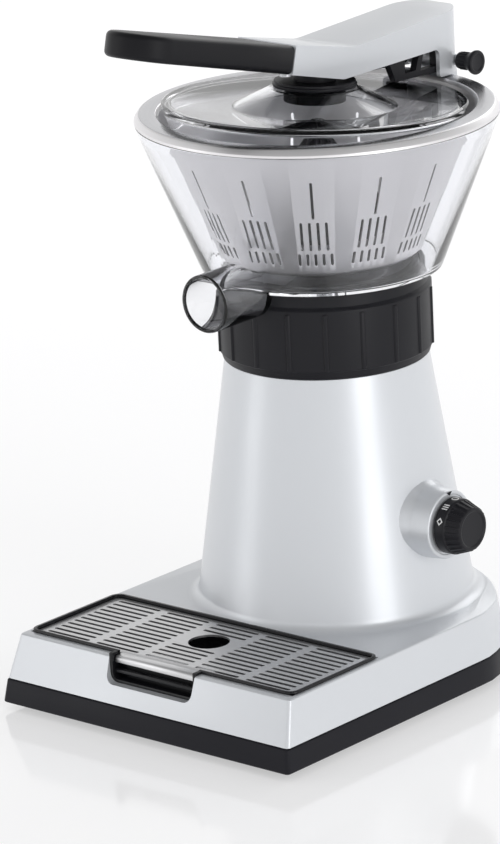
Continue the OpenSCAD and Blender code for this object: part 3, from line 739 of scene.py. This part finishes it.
    def boss(self) -> bmesh.types.BMesh:
        """The raised round seat of the selector knob."""
        knob = self.low("selector_knob")
        centre = (knob + self.high("selector_knob")) / 2
        face = knob.x - 0.8
        path = arc_path([(0, face - 26, 0), (26, face - 26, 0), (19.6, face - 12, 10), (18.6, face, 1.4),
                         (16.4, face, 0.6), (16.2, face - 0.5, 0), (0, face - 0.5, 0)], closed=False)
        return moved(along_x(lathe(path, 96)), shift(0, centre.y, centre.z))

    def well(self) -> bmesh.types.BMesh:
        """The pocket for the drip tray."""
        low, high = self.low("drip_tray"), self.high("drip_tray")
        inset = 0.8
        return box_mesh((low.x + inset, low.y + inset, low.z - 0.4), (high.x - inset, high.y - inset, 60))

    def notch(self, front: float) -> bmesh.types.BMesh:
        """The finger notch through the front wall, with round lower corners."""
        low = self.low("drip_tray").z
        half = 30.5
        outline = arc_path([(-half + 1.2, low, 5), (half - 1.2, low, 5), (half, 60, 0), (-half, 60, 0)])
        bm = moved(prism(outline, 26), turned(90, "X"))
        return moved(bm, shift(0, -front + 20, 0))

    def skirt(self, low: Vector, high: Vector) -> None:
        """The dark lower rim with its floor, vents and screw recesses.

        Args:
            low: the CAD skirt's lowest corner.
            high: its highest corner.
        """
        bm = self.drafted(low.z, high.z, high.x - 0.05, -low.y - 0.05, high.y, 0.1, 0.15)
        soften(bm, 1.0, 50.0, 3)
        for i in range(5):
            y = -70.0 + 8 * i
            bm = boolean(bm, box_mesh((-22, y, low.z - 1), (22, y + 3, low.z + 6)), Way.CUT)
        for x in (-76.2, 76.2):
            bm = boolean(bm, moved(rod(4.2, 0, 9, 24), shift(x, -139.7, low.z - 0.1)), Way.CUT)
        self.put("skirt", bm, "charcoal", "base", "charcoal_plastic", "base_cover")

    def feet(self) -> None:
        """Four rubber feet with a raised ring."""
        low, high = self.low("rubber_feet"), self.high("rubber_feet")
        radius = 9.5
        parts = []
        for x in (low.x + radius, high.x - radius):
            for y in (low.y + radius, high.y - radius):
                path = arc_path([(0, 0.5, 0), (5.5, 0.5, 0.3), (6, 0, 0.3), (8.4, 0, 0.8), (radius, high.z - 1, 0.2),
                                 (radius, high.z, 0), (0, high.z, 0)], closed=False)
                parts.append(moved(lathe(path, 40), shift(x, y, 0)))
        self.put("feet", merge(*parts), "rubber", "base", "rubber", "rubber_feet")


@dataclass
class DripTray(SubAssembly):
    """The black tray and the steel grid in it."""

    rows: int = 12
    columns: int = 5
    sheet: float = 1.2
    notch_half: float = 30.5

    def build(self) -> None:
        """Makes the tray and the grid."""
        self.put("tray", self.tray(), "gloss", "tray", "black_plastic", "drip_tray", sharp=40)
        self.put("grid", self.grid(), "grid", "grid", "stainless", "drip_grid", sharp=40)

    @staticmethod
    def plate(x: float, y0: float, y1: float, r: float, z0: float, z1: float) -> bmesh.types.BMesh:
        """A flat plate with rounded corners between two heights."""
        return prism(arc_path([(-x, y0, r), (x, y0, r), (x, y1, r), (-x, y1, r)], steps=8), z1 - z0, z0)

    def tray(self) -> bmesh.types.BMesh:
        """The black tray: a thin rim, a basin with a low rib, and a lip and frame in the finger notch."""
        low, high = self.low("drip_tray"), self.high("drip_tray")
        x, y0, y1, top = high.x, low.y, high.y, high.z
        rim = self.plate(x, y0, y1, 6, top - 1.5, top)
        soften(rim, 0.6, 60.0, 2)
        body = boolean(rim, self.plate(x - 1.3, y0 + 1.3, y1 - 1.3, 5, low.z, top - 1), Way.JOIN)
        body = boolean(body, self.plate(x - 1.8, y0 + 1.8, y1 - 1.8, 4.4, top - 3.1, top + 5), Way.CUT)
        body = boolean(body, self.plate(x - 3.5, y0 + 3.5, y1 - 3.5, 4, low.z + 2, top + 5), Way.CUT)
        half = self.notch_half - 0.4
        body = boolean(body, box_mesh((-half + 2, y0 - 5, top - 6.6), (half - 2, y0 + 4.5, top + 9)), Way.CUT)
        z = low.z - 0.2
        outer = arc_path([(-half, z, 4.5), (half, z, 4.5), (half, top - 0.2, 0), (-half, top - 0.2, 0)], steps=6)
        inner = arc_path([(-half + 2, z + 2, 3), (half - 2, z + 2, 3), (half - 2, top + 9, 0),
                          (-half + 2, top + 9, 0)], steps=6)
        depth = 6.6
        frame = boolean(self.upright(outer, y0 + 1.5, depth), self.upright(inner, y0 + 5, depth + 9), Way.CUT)
        soften(frame, 0.6, 50.0, 2, where=lambda p: p.y < y0 - 2)
        lip = box_mesh((-half + 1, y0 - 3.4, z + 4.6), (half - 1, y0 + 2, z + 7.2))
        soften(lip, 0.9, 50.0, 3, where=lambda p: p.y < y0 - 2)
        rib = box_mesh((-x + 3, (y0 + y1) / 2 - 0.8, low.z + 1), (x - 3, (y0 + y1) / 2 + 0.8, low.z + 7))
        return merge(body, frame, lip, rib)

    @staticmethod
    def upright(outline: Profile, y: float, depth: float) -> bmesh.types.BMesh:
        """A prism whose outline is (x, z), running forward from a distance y."""
        return moved(prism(outline, depth), shift(0, y, 0) @ turned(90, "X"))

    def grid(self) -> bmesh.types.BMesh:
        """The pressed steel grid: slots, a round drain and a rolled front lip."""
        low, high = self.low("drip_grid"), self.high("drip_grid")
        x, y0, y1, z = high.x, low.y + 5.3, high.y, high.z
        plate = self.plate(x, y0, y1, 4, z - self.sheet, z)
        soften(plate, 0.4, 60.0, 2)
        pitch = (y1 - y0 - 5) / self.rows
        width = (2 * x - 6) / self.columns
        cuts = []
        for column in range(self.columns):
            for row in range(self.rows):
                if column == 2 and 3 <= row <= 6:
                    continue
                left = -x + 3 + column * width + 2.6
                y = y1 - 2.5 - (row + 0.53) * pitch
                cuts.append(self.slot(left, left + width - 5.2, y, pitch * 0.42, z))
        plate = boolean(plate, merge(*cuts), Way.CUT)
        plate = boolean(plate, moved(rod(11.2, -4, 4, 48), shift(0, y1 - 2.5 - pitch * 5, z)), Way.CUT)
        lip = arc_path([(y0 - 5.3, z - 3.8, 0.5), (y0 - 4.1, z - 3.8, 0.5), (y0 - 4.1, z - 1.2, 0),
                        (y0 + 1, z - 1.2, 0),
                        (y0 + 1, z + 0.02, 0), (y0 - 5.3, z + 0.02, 2.0)])
        return merge(plate, soften(side_prism(lip, 27.5), 0.5, 60.0, 2))

    @staticmethod
    def slot(x0: float, x1: float, y: float, width: float, z: float) -> bmesh.types.BMesh:
        """One slot's cutter, with round ends."""
        r = width / 2
        return prism(arc_path([(x0, y - r, r), (x1, y - r, r), (x1, y + r, r), (x0, y + r, r)], steps=4), 6, z - 3)


@dataclass
class Bowl(SubAssembly):
    """The lock collar, the clear bowl with its spout, the strainer and the reamer."""

    wall: float = 2.2
    foot: float = 64.2
    ribs: int = 18
    groups: int = 13

    def build(self) -> None:
        """Makes the collar, bowl, strainer and reamer."""
        self.collar()
        self.clear_bowl()
        self.strainer()
        self.reamer()

    def collar(self) -> None:
        """The black lock ring with raised grip ribs."""
        low, high = self.low("lock_collar"), self.high("lock_collar")
        r, z0, z2 = 57.6, low.z, high.z
        z1 = z0 + 39
        inner = 52.7
        path = arc_path([(inner, z0, 0), (r - 1.9, z0, 0.5), (r - 0.7, z0 + 4, 0.5), (r, z0 + 4.6, 0.5),
                         (r, z1 - 1.6, 1.6),
                         (r - 1.6, z1, 0.8), (inner + 3.0, z1 + 0.3, 0.5), (inner + 2.9, z2, 0.5), (inner, z2, 0)])
        parts = [lathe(path, 160)]
        for i in range(self.ribs):
            bar = prism(arc_path([(r - 1.5, -1.5, 0), (r + 0.05, -1.5, 0.6), (r + 0.85, -0.7, 0.4), (r + 0.85, 0.7, 0.4),
                                  (r + 0.05, 1.5, 0.6), (r - 1.5, 1.5, 0)], steps=3), z1 - z0 - 8.2, z0 + 5)
            soften(bar, 0.6, 60.0, 3, where=lambda p: p.x > r)
            parts.append(moved(bar, turned((i + 0.5) * 360 / self.ribs, "Z")))
        self.put("collar", merge(*parts), "black", "collar", "black_plastic", "lock_collar")

    def radius(self, z: float) -> float:
        """The bowl's outer radius at a height."""
        return self.foot + self.cone * (z - self.z0)

    def clear_bowl(self) -> None:
        """The clear bowl: cone, floor, centre tube and spout, as one wall."""
        low, high = self.low("juice_bowl"), self.high("juice_bowl")
        spout_r, brim, top = 15.6, high.x, high.z
        self.z0 = self.low("juice_bowl").z + spout_r - 1.4
        self.cone = (brim - self.foot) / (top - self.z0)
        spout_z, tip = low.z + spout_r, low.y
        floor = self.z0 + 1.8
        outer = lathe(arc_path([(0, self.z0, 0), (self.foot, self.z0, 0.8),
                                (self.radius(self.z0 + 3), self.z0 + 3, 1.5),
                                (brim - 1.4, top - 5, 10), (brim, top, 0.5), (0, top, 0)], closed=False), 160)
        mouth = arc_path([(0, -tip, 0), (spout_r, -tip, 1.0), (spout_r, 60.6, 0), (0, 60.6, 0)],
                         closed=False, steps=4)
        spout = moved(moved(lathe(mouth, 64), turned(90, "X")), shift(0, 0, spout_z))
        outer = boolean(outer, spout, Way.JOIN)
        inner_floor = self.radius(floor) - self.wall
        inner = lathe(arc_path([(11, floor, 1.5), (inner_floor, floor, 2.5), (brim - 1.4 - self.wall, top - 5, 10),
                                (brim - self.wall, top + 2, 0), (0, top + 2, 0), (0, floor + 15.4, 0),
                                (11, floor + 15.4, 1.0)]), 160)
        outer = boolean(outer, inner, Way.CUT)
        outer = boolean(outer, rod(8, self.z0 - 5, floor + 30, 64), Way.CUT)
        bore = spout_r - self.wall
        path = arc_path([(0, -tip + 1, 0), (bore + 0.9, -tip + 1, 0), (bore, -tip - 1.2, 0.8), (bore, 63.2, 1.5),
                         (0, 63.2, 0)], closed=False)
        passage = moved(moved(lathe(path, 64), turned(90, "X")), shift(0, 0, spout_z))
        upper = box_mesh((-20, -100, floor), (20, -40, floor + 30))
        outside = box_mesh((-20, -100, floor - 30), (20, -self.foot + 0.6, floor + 0.01))
        inward = moved(moved(rod(bore, 46, 70, 64), turned(90, "X")), shift(0, 0, spout_z))
        passage = boolean(passage, inward, Way.JOIN)
        passage = boolean(passage, boolean(upper, outside, Way.JOIN), Way.KEEP)
        outer = boolean(outer, passage, Way.CUT)
        self.put("bowl", outer, "clear", "base", "clear_plastic", "juice_bowl", sharp=40)

    def strainer(self) -> None:
        """The steel strainer: a broad rim and a slotted cone; the rim's flat top is painted a darker steel as painted
        shade.
        """
        low, high = self.low("strainer_basket"), self.high("strainer_basket")
        top, brim = high.z, high.x
        z0 = low.z
        rim_in, rim_out = 84.8, brim - 2.2
        lower = rim_in - 0.372 * (top - z0)
        sheet = 0.9
        path = arc_path([
            (12, z0, 0), (lower - 3, z0, 0), (lower, z0 + 2.5, 0), (rim_in + 0.2, top - 1.8, 1.2),
            (rim_in + 1.6, top - sheet, 0.6), (rim_out - 0.4, top - sheet, 1), (brim - sheet, top - 3.6, 0.4),
            (brim - sheet - 0.2, top - 4.4, 0), (brim, top - 4.4, 0), (brim, top - 3.2, 1.0), (rim_out, top, 1.6),
            (rim_in + 0.6, top, 1.4), (rim_in - sheet, top - 2.0, 1.4), (lower - sheet - 0.4, z0 + 3.2, 2.5),
            (lower - 3.4, z0 + sheet, 0), (12, z0 + sheet, 0)])
        bm = lathe(path, 195)
        cuts = []
        for group in range(self.groups):
            spin = turned(-80.9 + group * 360 / self.groups, "Z")
            rows = [(0.0, top - 44, 22)]
            rows += [((i - 1.5) * 4.4, top - 63, 17) for i in range(4)]
            rows += [((i - 2) * 4.2, top - 72, 7) for i in range(5)]
            for offset, z, height in rows:
                outline = arc_path([(offset - 0.75, z, 0.7), (offset + 0.75, z, 0.7), (offset + 0.75, z + height, 0.7),
                                    (offset - 0.75, z + height, 0.7)], steps=3)
                blade = moved(prism(outline, 60), Matrix(((0, 0, 1), (1, 0, 0), (0, 1, 0))).to_4x4())
                bmesh.ops.recalc_face_normals(blade, faces=blade.faces)
                cuts.append(moved(moved(blade, shift(40, 0, 0)), spin))
        bm = boolean(bm, merge(*cuts), Way.CUT)
        piece = self.put("strainer", bm, "basket", "base", "stainless", "strainer_basket")
        # upward-facing faces on the rim get the darker steel, a painted shade on the flat top
        piece.data.materials.append(self.palette.get("rim"))
        for face in piece.data.polygons:
            flat = face.normal.z > 0.9 and face.center.z > (top - 1) * MM
            face.material_index = 1 if flat else 0

    def reamer(self) -> None:
        """The black ribbed cone."""
        low, high = self.low("reamer_cone"), self.high("reamer_cone")
        z0, top = low.z, high.z
        path = arc_path([(6, z0 + 1, 0), (35, z0 + 1, 0), (38, z0, 1), (38, z0 + 3.4, 1.4),
                         (29, z0 + 5, 4), (24, z0 + 18, 20),
                         (15, top - 22, 20), (5, top - 4, 3), (0, top - 2, 0), (0, z0 + 40, 0), (6, z0 + 38, 0)])
        parts = [lathe(path, 96)]
        for i in range(8):
            outline = arc_path([(2, z0 + 3, 0), (35.5, z0 + 3, 1), (33, z0 + 13, 8), (24, z0 + 34, 20),
                                (12, top - 8, 10), (2, top - 0.3, 1)])
            blade = moved(prism(outline, 2.6, -1.3), turned(90, "X"))
            soften(blade, 0.9, 60.0, 3)
            parts.append(moved(blade, turned(i * 45, "Z")))
        self.put("reamer", merge(*parts), "black", "spindle", "black_plastic", "reamer_cone")


@dataclass
class Arm(SubAssembly):
    """The lever: silver shell, black grip, liner, press hub, clear lid and hinge pin."""

    wall: float = 2.4
    joint_y: float = 41.5
    slope: float = 14.6
    grip_height: float = 15.2
    tilt: float = 3.5

    def build(self) -> None:
        """Makes the arm's pieces."""
        self.half = self.high("lever_arm").x
        self.rear = self.high("lever_arm").y
        self.pin = (self.low("hinge_pin") + self.high("hinge_pin")) / 2
        self.under = self.pin.z + 9.5
        self.rise = math.tan(math.radians(self.slope))
        self.shell()
        self.grip()
        self.liner()
        self.press()
        self.handle()

    def side(self, low: float, high: float, back: float) -> Profile:
        """The arm's side outline.

        Args:
            low: how far its underside is raised.
            high: how far its top is lowered.
            back: where it ends at the back.

        Returns:
            The (y, z) outline.
        """
        y0, under = -self.joint_y, self.under
        tall = under + 15.6
        return arc_path([
            (y0 - self.rise * low * 0.5, under + self.rise * self.joint_y + low, 0), (0, under + low, 14),
            (back, under + low, 0), (back, tall + 3.8 - high, 5 if low >= 0 else 0), (9, tall - high, 26),
            (y0 + self.rise * self.grip_height, under + self.rise * self.joint_y + self.grip_height - high, 0)],
            steps=8)

    def plan(self, half: float, low: float = 250.0) -> bmesh.types.BMesh:
        """An upright prism with the arm's round-ended plan."""
        centre = self.rear - self.half
        round_end = [(half * math.cos(a), centre + half * math.sin(a))
                     for a in [math.pi * k / 32 for k in range(33)]]
        return prism([(-half, -120), (half, -120)] + round_end, 300, low)

    def shell(self) -> None:
        """The silver shell of the arm, open below."""
        under, pin = self.under, self.pin
        body = side_prism(self.side(0, 0, self.rear + 2), self.half + 2)
        leg = side_prism(arc_path([
            (pin.y - 24, under + 3, 0), (pin.y - 24, under, 0), (pin.y - 17, under, 6.5), (pin.y - 17, pin.z - 6.3, 2.0),
            (pin.y + 4, pin.z - 6.3, 4), (self.rear + 2, pin.z, 3), (self.rear + 2, under + 3, 0)], steps=6), self.half + 2)
        body = boolean(body, leg, Way.JOIN)
        body = boolean(body, self.plan(self.half), Way.KEEP)
        soften(body, 2.0, 48.0, 4, where=lambda p: p.y > -self.joint_y + 0.3 and p.z > under + 2)
        soften(body, 0.7, 48.0, 2, where=lambda p: p.y > -self.joint_y + 0.5 and p.z < under + 14 and abs(p.x) > 10)
        inner = side_prism(self.side(-40, self.wall, self.rear + 4), self.half + 4)
        low = box_mesh((-30, pin.y - 37, pin.z - 12), (30, pin.y + 30, pin.z + 14))
        inner = boolean(boolean(inner, low, Way.JOIN), self.plan(self.half - self.wall), Way.KEEP)
        body = boolean(body, inner, Way.CUT)
        body = boolean(body, box_mesh((-14.1, pin.y - 2, pin.z - 12), (14.1, pin.y + 40, pin.z + 13.7)), Way.CUT)
        bore = moved(along_x(rod(3.05, -40, 40)), shift(0, pin.y, pin.z))
        body = boolean(body, bore, Way.CUT)
        self.put("arm_shell", body, "silver", "arm", "silver_paint", "lever_arm", sharp=28)

    def grip(self) -> None:
        """The black grip with rounded long edges and tip."""
        length = (-self.low("arm_grip").y - self.joint_y) / math.cos(math.radians(self.slope)) - 1
        t, half = self.grip_height, self.half
        bm = side_prism([(-length, 0.5), (-0.3, 0), (-0.3, t), (-length, t - 1.2)], half)
        tip = [(-half * math.cos(a), half - length - half * math.sin(a)) for a in [math.pi * k / 48 for k in range(49)]]
        bm = boolean(bm, prism(tip + [(half, 5), (-half, 5)], 60, -20), Way.KEEP)
        soften(bm, 3.0, 48.0, 5, where=lambda p: p.y < -1.0)
        soften(bm, 0.9, 60.0, 2)
        place = shift(0, -self.joint_y, self.under + self.rise * self.joint_y) @ turned(-self.slope, "X")
        self.put("grip", moved(bm, place), "grip", "arm", "black_plastic", "arm_grip", sharp=40)

    def liner(self) -> None:
        """The black liner and hinge cheeks, with softened edges."""
        bm = moved(from_node("arm_liner"), shift(0, -self.axis_y, 0))
        soften(bm, 0.35, 60.0, 1)
        self.put("liner", bm, "black", "arm", "black_plastic", "arm_liner")

    def tilted(self, bm: bmesh.types.BMesh) -> bmesh.types.BMesh:
        """A mesh turned about the press pivot, as the lid hangs."""
        z = (self.low("press_pivot").z + self.high("press_pivot").z) / 2
        return moved(bm, shift(0, 0, z) @ turned(-self.tilt, "X") @ shift(0, 0, -z))

    def press(self) -> None:
        """The black hub and the clear lid that presses the fruit."""
        rim = self.high("strainer_basket").z
        hub_z, top, r, neck = rim + 11.0, self.under - 2.2, 22.5, 16.5
        hub = lathe(arc_path([(0, hub_z - 9, 0), (neck, hub_z - 9, 0.8), (neck, hub_z, 0), (r, hub_z, 0.8),
                              (r, top - 1.5, 0.3), (r - 0.8, top - 1.2, 0.2), (r - 0.8, top, 0), (11, top, 0),
                              (11, top + 10.6, 0.8), (0, top + 10.6, 0)], closed=False), 96)
        pivot = (self.low("press_pivot").z + self.high("press_pivot").z) / 2
        hub = boolean(hub, moved(along_x(rod(2.65, -40, 40)), shift(0, 0, pivot)), Way.CUT)
        self.put("hub", self.tilted(hub), "black", "press", "black_plastic", "press_hub")
        lid_r = self.high("press_lid").x
        lid_z, t = rim + 3.2, 2.2
        ring = [(neck + 0.2, hub_z - 0.4, 0.4), (r + 1, hub_z - 0.4, 2.5), (43.7, rim + 0.4, 3), (lid_r - 1.5, lid_z, 1.2),
                (lid_r, lid_z - 0.8, 0.6), (lid_r - 3.6, lid_z - 11.4, 0.5), (lid_r - 5.8, lid_z - 11.4, 0.5),
                (lid_r - 3.6, lid_z - t - 0.6, 1.5), (43.5, rim - t + 0.1, 3), (r, hub_z - 0.4 - t, 2.5),
                (neck + 0.2, hub_z - 0.4 - t, 0.4)]
        lid = lathe(arc_path(ring, steps=6), 160)
        self.put("lid", self.tilted(lid), "clear", "press", "clear_plastic", "press_lid", sharp=45)

    def handle(self) -> None:
        """The pull-out pin's flared black end."""
        x, pin = self.half, self.pin
        path = arc_path([(3.0, x + 0.4, 0), (4.6, x + 0.4, 0.4), (4.5, x + 6.6, 2), (5.1, x + 8.2, 2), (6.5, x + 10.6, 0.8),
                         (6.7, x + 11.6, 0.6), (6.5, x + 12.6, 0.7), (4.9, x + 12.6, 0.3), (4.4, x + 12.0, 0.5),
                         (0, x + 11.8, 0), (0, x + 9, 0), (3.0, x + 9, 0)], steps=4)
        parts = [along_x(lathe(path, 64))]
        for i in range(16):
            bar = prism([(4.2, -0.35), (4.95, -0.25), (4.95, 0.25), (4.2, 0.35)], 5.2, x + 1.6)
            parts.append(along_x(moved(soften(bar, 0.18, 60.0, 1), turned(i * 22.5, "Z"))))
        self.put("pin_grip", moved(merge(*parts), shift(0, pin.y, pin.z)), "black", "pin", "black_plastic", "pin_handle")


@dataclass
class Selector(SubAssembly):
    """The fluted selector knob with its marks."""

    flutes: int = 24

    def build(self) -> None:
        """Makes the knob and its printed marks."""
        low, high = self.low("selector_knob"), self.high("selector_knob")
        x0, x1 = low.x, high.x
        r = (high.z - low.z) / 2
        z = (high.z + low.z) / 2
        tip = r - 3.7
        path = arc_path([(0, x0, 0), (r, x0, 0.5), (r - 0.2, x0 + 6.0, 1), (r - 1.3, x0 + 6.8, 0.6), (tip, x1 - 0.9, 1.6),
                         (tip - 1.6, x1 - 0.9, 0.8), (tip - 2.4, x1 - 1.5, 0.8), (0, x1 - 1.4, 0)], closed=False)
        parts = [lathe(path, 120)]
        for i in range(self.flutes):
            outline = arc_path([(r - 4.0, x0 + 6.6, 0), (r - 0.55, x0 + 6.6, 0.5), (tip + 0.45, x1 - 1.4, 0.8),
                                (tip - 1.0, x1 - 1.4, 0)])
            bar = moved(prism(outline, 1.7, -0.85), turned(90, "X"))
            soften(bar, 0.5, 60.0, 2)
            parts.append(moved(bar, turned(i * 360 / self.flutes, "Z")))
        place = shift(0, 0, z) @ turned(90, "Y")
        self.put("knob", moved(merge(*parts), place), "black", "knob", "black_plastic", "selector_knob")
        self.marks(x0, r, z)

    def marks(self, x0: float, r: float, z: float) -> None:
        """A ring, a bar and a diamond round the knob's skirt.

        Args:
            x0: the skirt's inner edge.
            r: the skirt's radius.
            z: the knob's height.
        """
        ring = arc_path([(2.0, 0, 0), (1.5, 0, 0), (1.5, 0.25, 0), (2.0, 0.25, 0)])
        bars = [prism([(-1.8, y), (1.8, y), (1.8, y + 0.6), (-1.8, y + 0.6)], 0.25) for y in (-1.7, -0.3, 1.1)]
        kite = [(0, -2.1), (1.9, 0), (0, 2.1), (-1.9, 0)]
        frame = boolean(prism(kite, 0.25), prism([(x * 0.6, y * 0.6) for x, y in kite], 3, -1), Way.CUT)
        shapes = [(0.0, lathe(ring, 32)), (33.0, merge(*bars)), (66.0, frame)]
        parts = [moved(bm, turned(angle, "X") @ shift(x0 + 3.4, 0, r - 0.28)) for angle, bm in shapes]
        self.put("knob_marks", moved(merge(*parts), shift(0, 0, z)), "white", "knob", "black_plastic")


@dataclass
class Inner(SubAssembly):
    """The CAD nodes that keep their shape and get a finish."""

    def build(self) -> None:
        """Gives each remaining CAD node its material."""
        table = {
            "pointer_mark": "charcoal", "base_screws": "steel", "cord_gland": "charcoal", "bowl_seal": "rubber",
            "shaft_seal": "rubber", "upper_bush": "bronze", "lower_bush": "bronze", "gearbox_housing": "housing",
            "gearbox_cover": "housing", "gearbox_screws": "steel", "idler_pin": "steel", "idler_gear": "gear",
            "output_gear": "gear", "drive_spindle": "steel", "motor_can": "steel", "motor_end_cap": "charcoal",
            "motor_damper": "rubber", "motor_screws": "steel", "motor_pinion": "bronze", "motor_shaft": "steel",
            "motor_armature": "copper", "selector_switch": "switch", "selector_shaft": "steel", "control_board": "board",
            "board_parts": "parts", "liner_screws": "steel", "press_pivot": "steel", "hinge_pin": "steel"}
        for node, finish in table.items():
            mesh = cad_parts[node].data
            mesh.materials.clear()
            mesh.materials.append(self.palette.get(finish))
        LOG.info("dressed %d inner nodes", len(table))


@dataclass
class Studio:
    """Floor, backdrop, lights and camera."""

    axis_y: float
    azimuth: float = 41.24
    elevation: float = 16.99
    roll: float = -2.68
    distance: float = 2864.5
    lens: float = 223.78
    aim: tuple[float, float, float] = (-57.1, 0.0, 125.33)
    glow: float = 0.46
    horizon: float = 1.03
    zenith: float = 0.34

    def build(self) -> None:
        """Sets up the whole studio."""
        self.camera()
        self.floor()
        self.lights()
        self.world()
        bpy.context.scene.view_settings.view_transform = "Standard"

    def camera(self) -> None:
        """The camera, rolled slightly, looking from the front right."""
        az, el, roll = (math.radians(v) for v in (self.azimuth, self.elevation, self.roll))
        back = Vector((math.sin(az) * math.cos(el), -math.cos(az) * math.cos(el), math.sin(el)))
        right = Vector((math.cos(az), math.sin(az), 0.0))
        up = back.cross(right)
        across = math.cos(roll) * right + math.sin(roll) * up
        over = -math.sin(roll) * right + math.cos(roll) * up
        data = bpy.data.cameras.new("camera")
        data.lens = self.lens
        data.sensor_width = 36.0
        data.clip_end = 50.0
        camera = bpy.data.objects.new("camera", data)
        spot = Vector((self.aim[0], self.aim[1] + self.axis_y, self.aim[2])) * MM + back * (self.distance * MM)
        camera.matrix_world = Matrix((across, over, back)).transposed().to_4x4()
        camera.location = spot
        bpy.context.scene.collection.objects.link(camera)
        bpy.context.scene.camera = camera

    def floor(self) -> None:
        """A pale glossy floor."""
        bm = bmesh.new()
        bmesh.ops.create_grid(bm, x_segments=1, y_segments=1, size=6.0)
        mesh = bpy.data.meshes.new("floor")
        bm.to_mesh(mesh)
        bm.free()
        material = bpy.data.materials.new("floor_gloss")
        material.use_nodes = True
        shader = material.node_tree.nodes["Principled BSDF"]
        shader.inputs["Base Color"].default_value = (0.62, 0.62, 0.63, 1)
        shader.inputs["Roughness"].default_value = 0.1
        shader.inputs["Emission Color"].default_value = (1.0, 1.0, 1.0, 1)
        shader.inputs["Emission Strength"].default_value = self.glow
        mesh.materials.append(material)
        floor = bpy.data.objects.new("floor", mesh)
        bpy.context.scene.collection.objects.link(floor)

    def area(self, name: str, spot: Sequence[float], aim: Sequence[float], size: Sequence[float],
             power: float) -> None:
        """One soft panel.

        Args:
            name: the light's name.
            spot: where it stands, in metres.
            aim: what it points at.
            size: its width and height.
            power: in watts.
        """
        data = bpy.data.lights.new(name, "AREA")
        data.shape = "RECTANGLE"
        data.size, data.size_y = size
        data.energy = power
        light = bpy.data.objects.new(name, data)
        light.location = spot
        light.rotation_euler = (Vector(aim) - Vector(spot)).to_track_quat("-Z", "Y").to_euler()
        bpy.context.scene.collection.objects.link(light)

    def lights(self) -> None:
        """Soft panels from above, left and right."""
        aim = (0, self.axis_y * MM, 0.2)
        self.area("left", (-1.2, -1.3, 0.5), aim, (0.6, 1.4), 2.4)
        self.area("right", (1.5, -0.3, 0.5), aim, (0.6, 1.4), 6.5)
        self.area("back", (-0.4, 1.8, 1.2), aim, (1.4, 0.8), 6)

    def world(self) -> None:
        """A surround that is white at the horizon and dimmer overhead."""
        world = bpy.data.worlds.new("surround")
        world.use_nodes = True
        nodes, links = world.node_tree.nodes, world.node_tree.links
        place = nodes.new("ShaderNodeTexCoord")
        split = nodes.new("ShaderNodeSeparateXYZ")
        links.new(place.outputs["Generated"], split.inputs["Vector"])
        ramp = nodes.new("ShaderNodeMapRange")
        ramp.interpolation_type = "SMOOTHSTEP"
        ramp.inputs["From Min"].default_value = 0.1
        ramp.inputs["From Max"].default_value = 0.9
        ramp.inputs["To Min"].default_value = self.horizon
        ramp.inputs["To Max"].default_value = self.zenith
        links.new(split.outputs["Z"], ramp.inputs["Value"])
        shade = nodes["Background"]
        shade.inputs["Color"].default_value = (1.0, 1.0, 1.0, 1)
        links.new(ramp.outputs["Result"], shade.inputs["Strength"])
        bpy.context.scene.world = world


def main() -> None:
    """Builds the studio and every sub-assembly, in order."""
    logging.basicConfig(level=logging.INFO, format="%(name)s %(message)s")
    low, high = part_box("drive_spindle")
    axis = (low + high) / 2
    axis_y = axis.y / MM
    palette = Palette((axis.x, axis.y))
    Studio(axis_y).build()
    for kind in (Inner, Base, DripTray, Bowl, Arm, Selector):
        kind(palette, axis_y).build()
        LOG.info("%s done", kind.__name__)


if __name__ == "__main__":
    main()
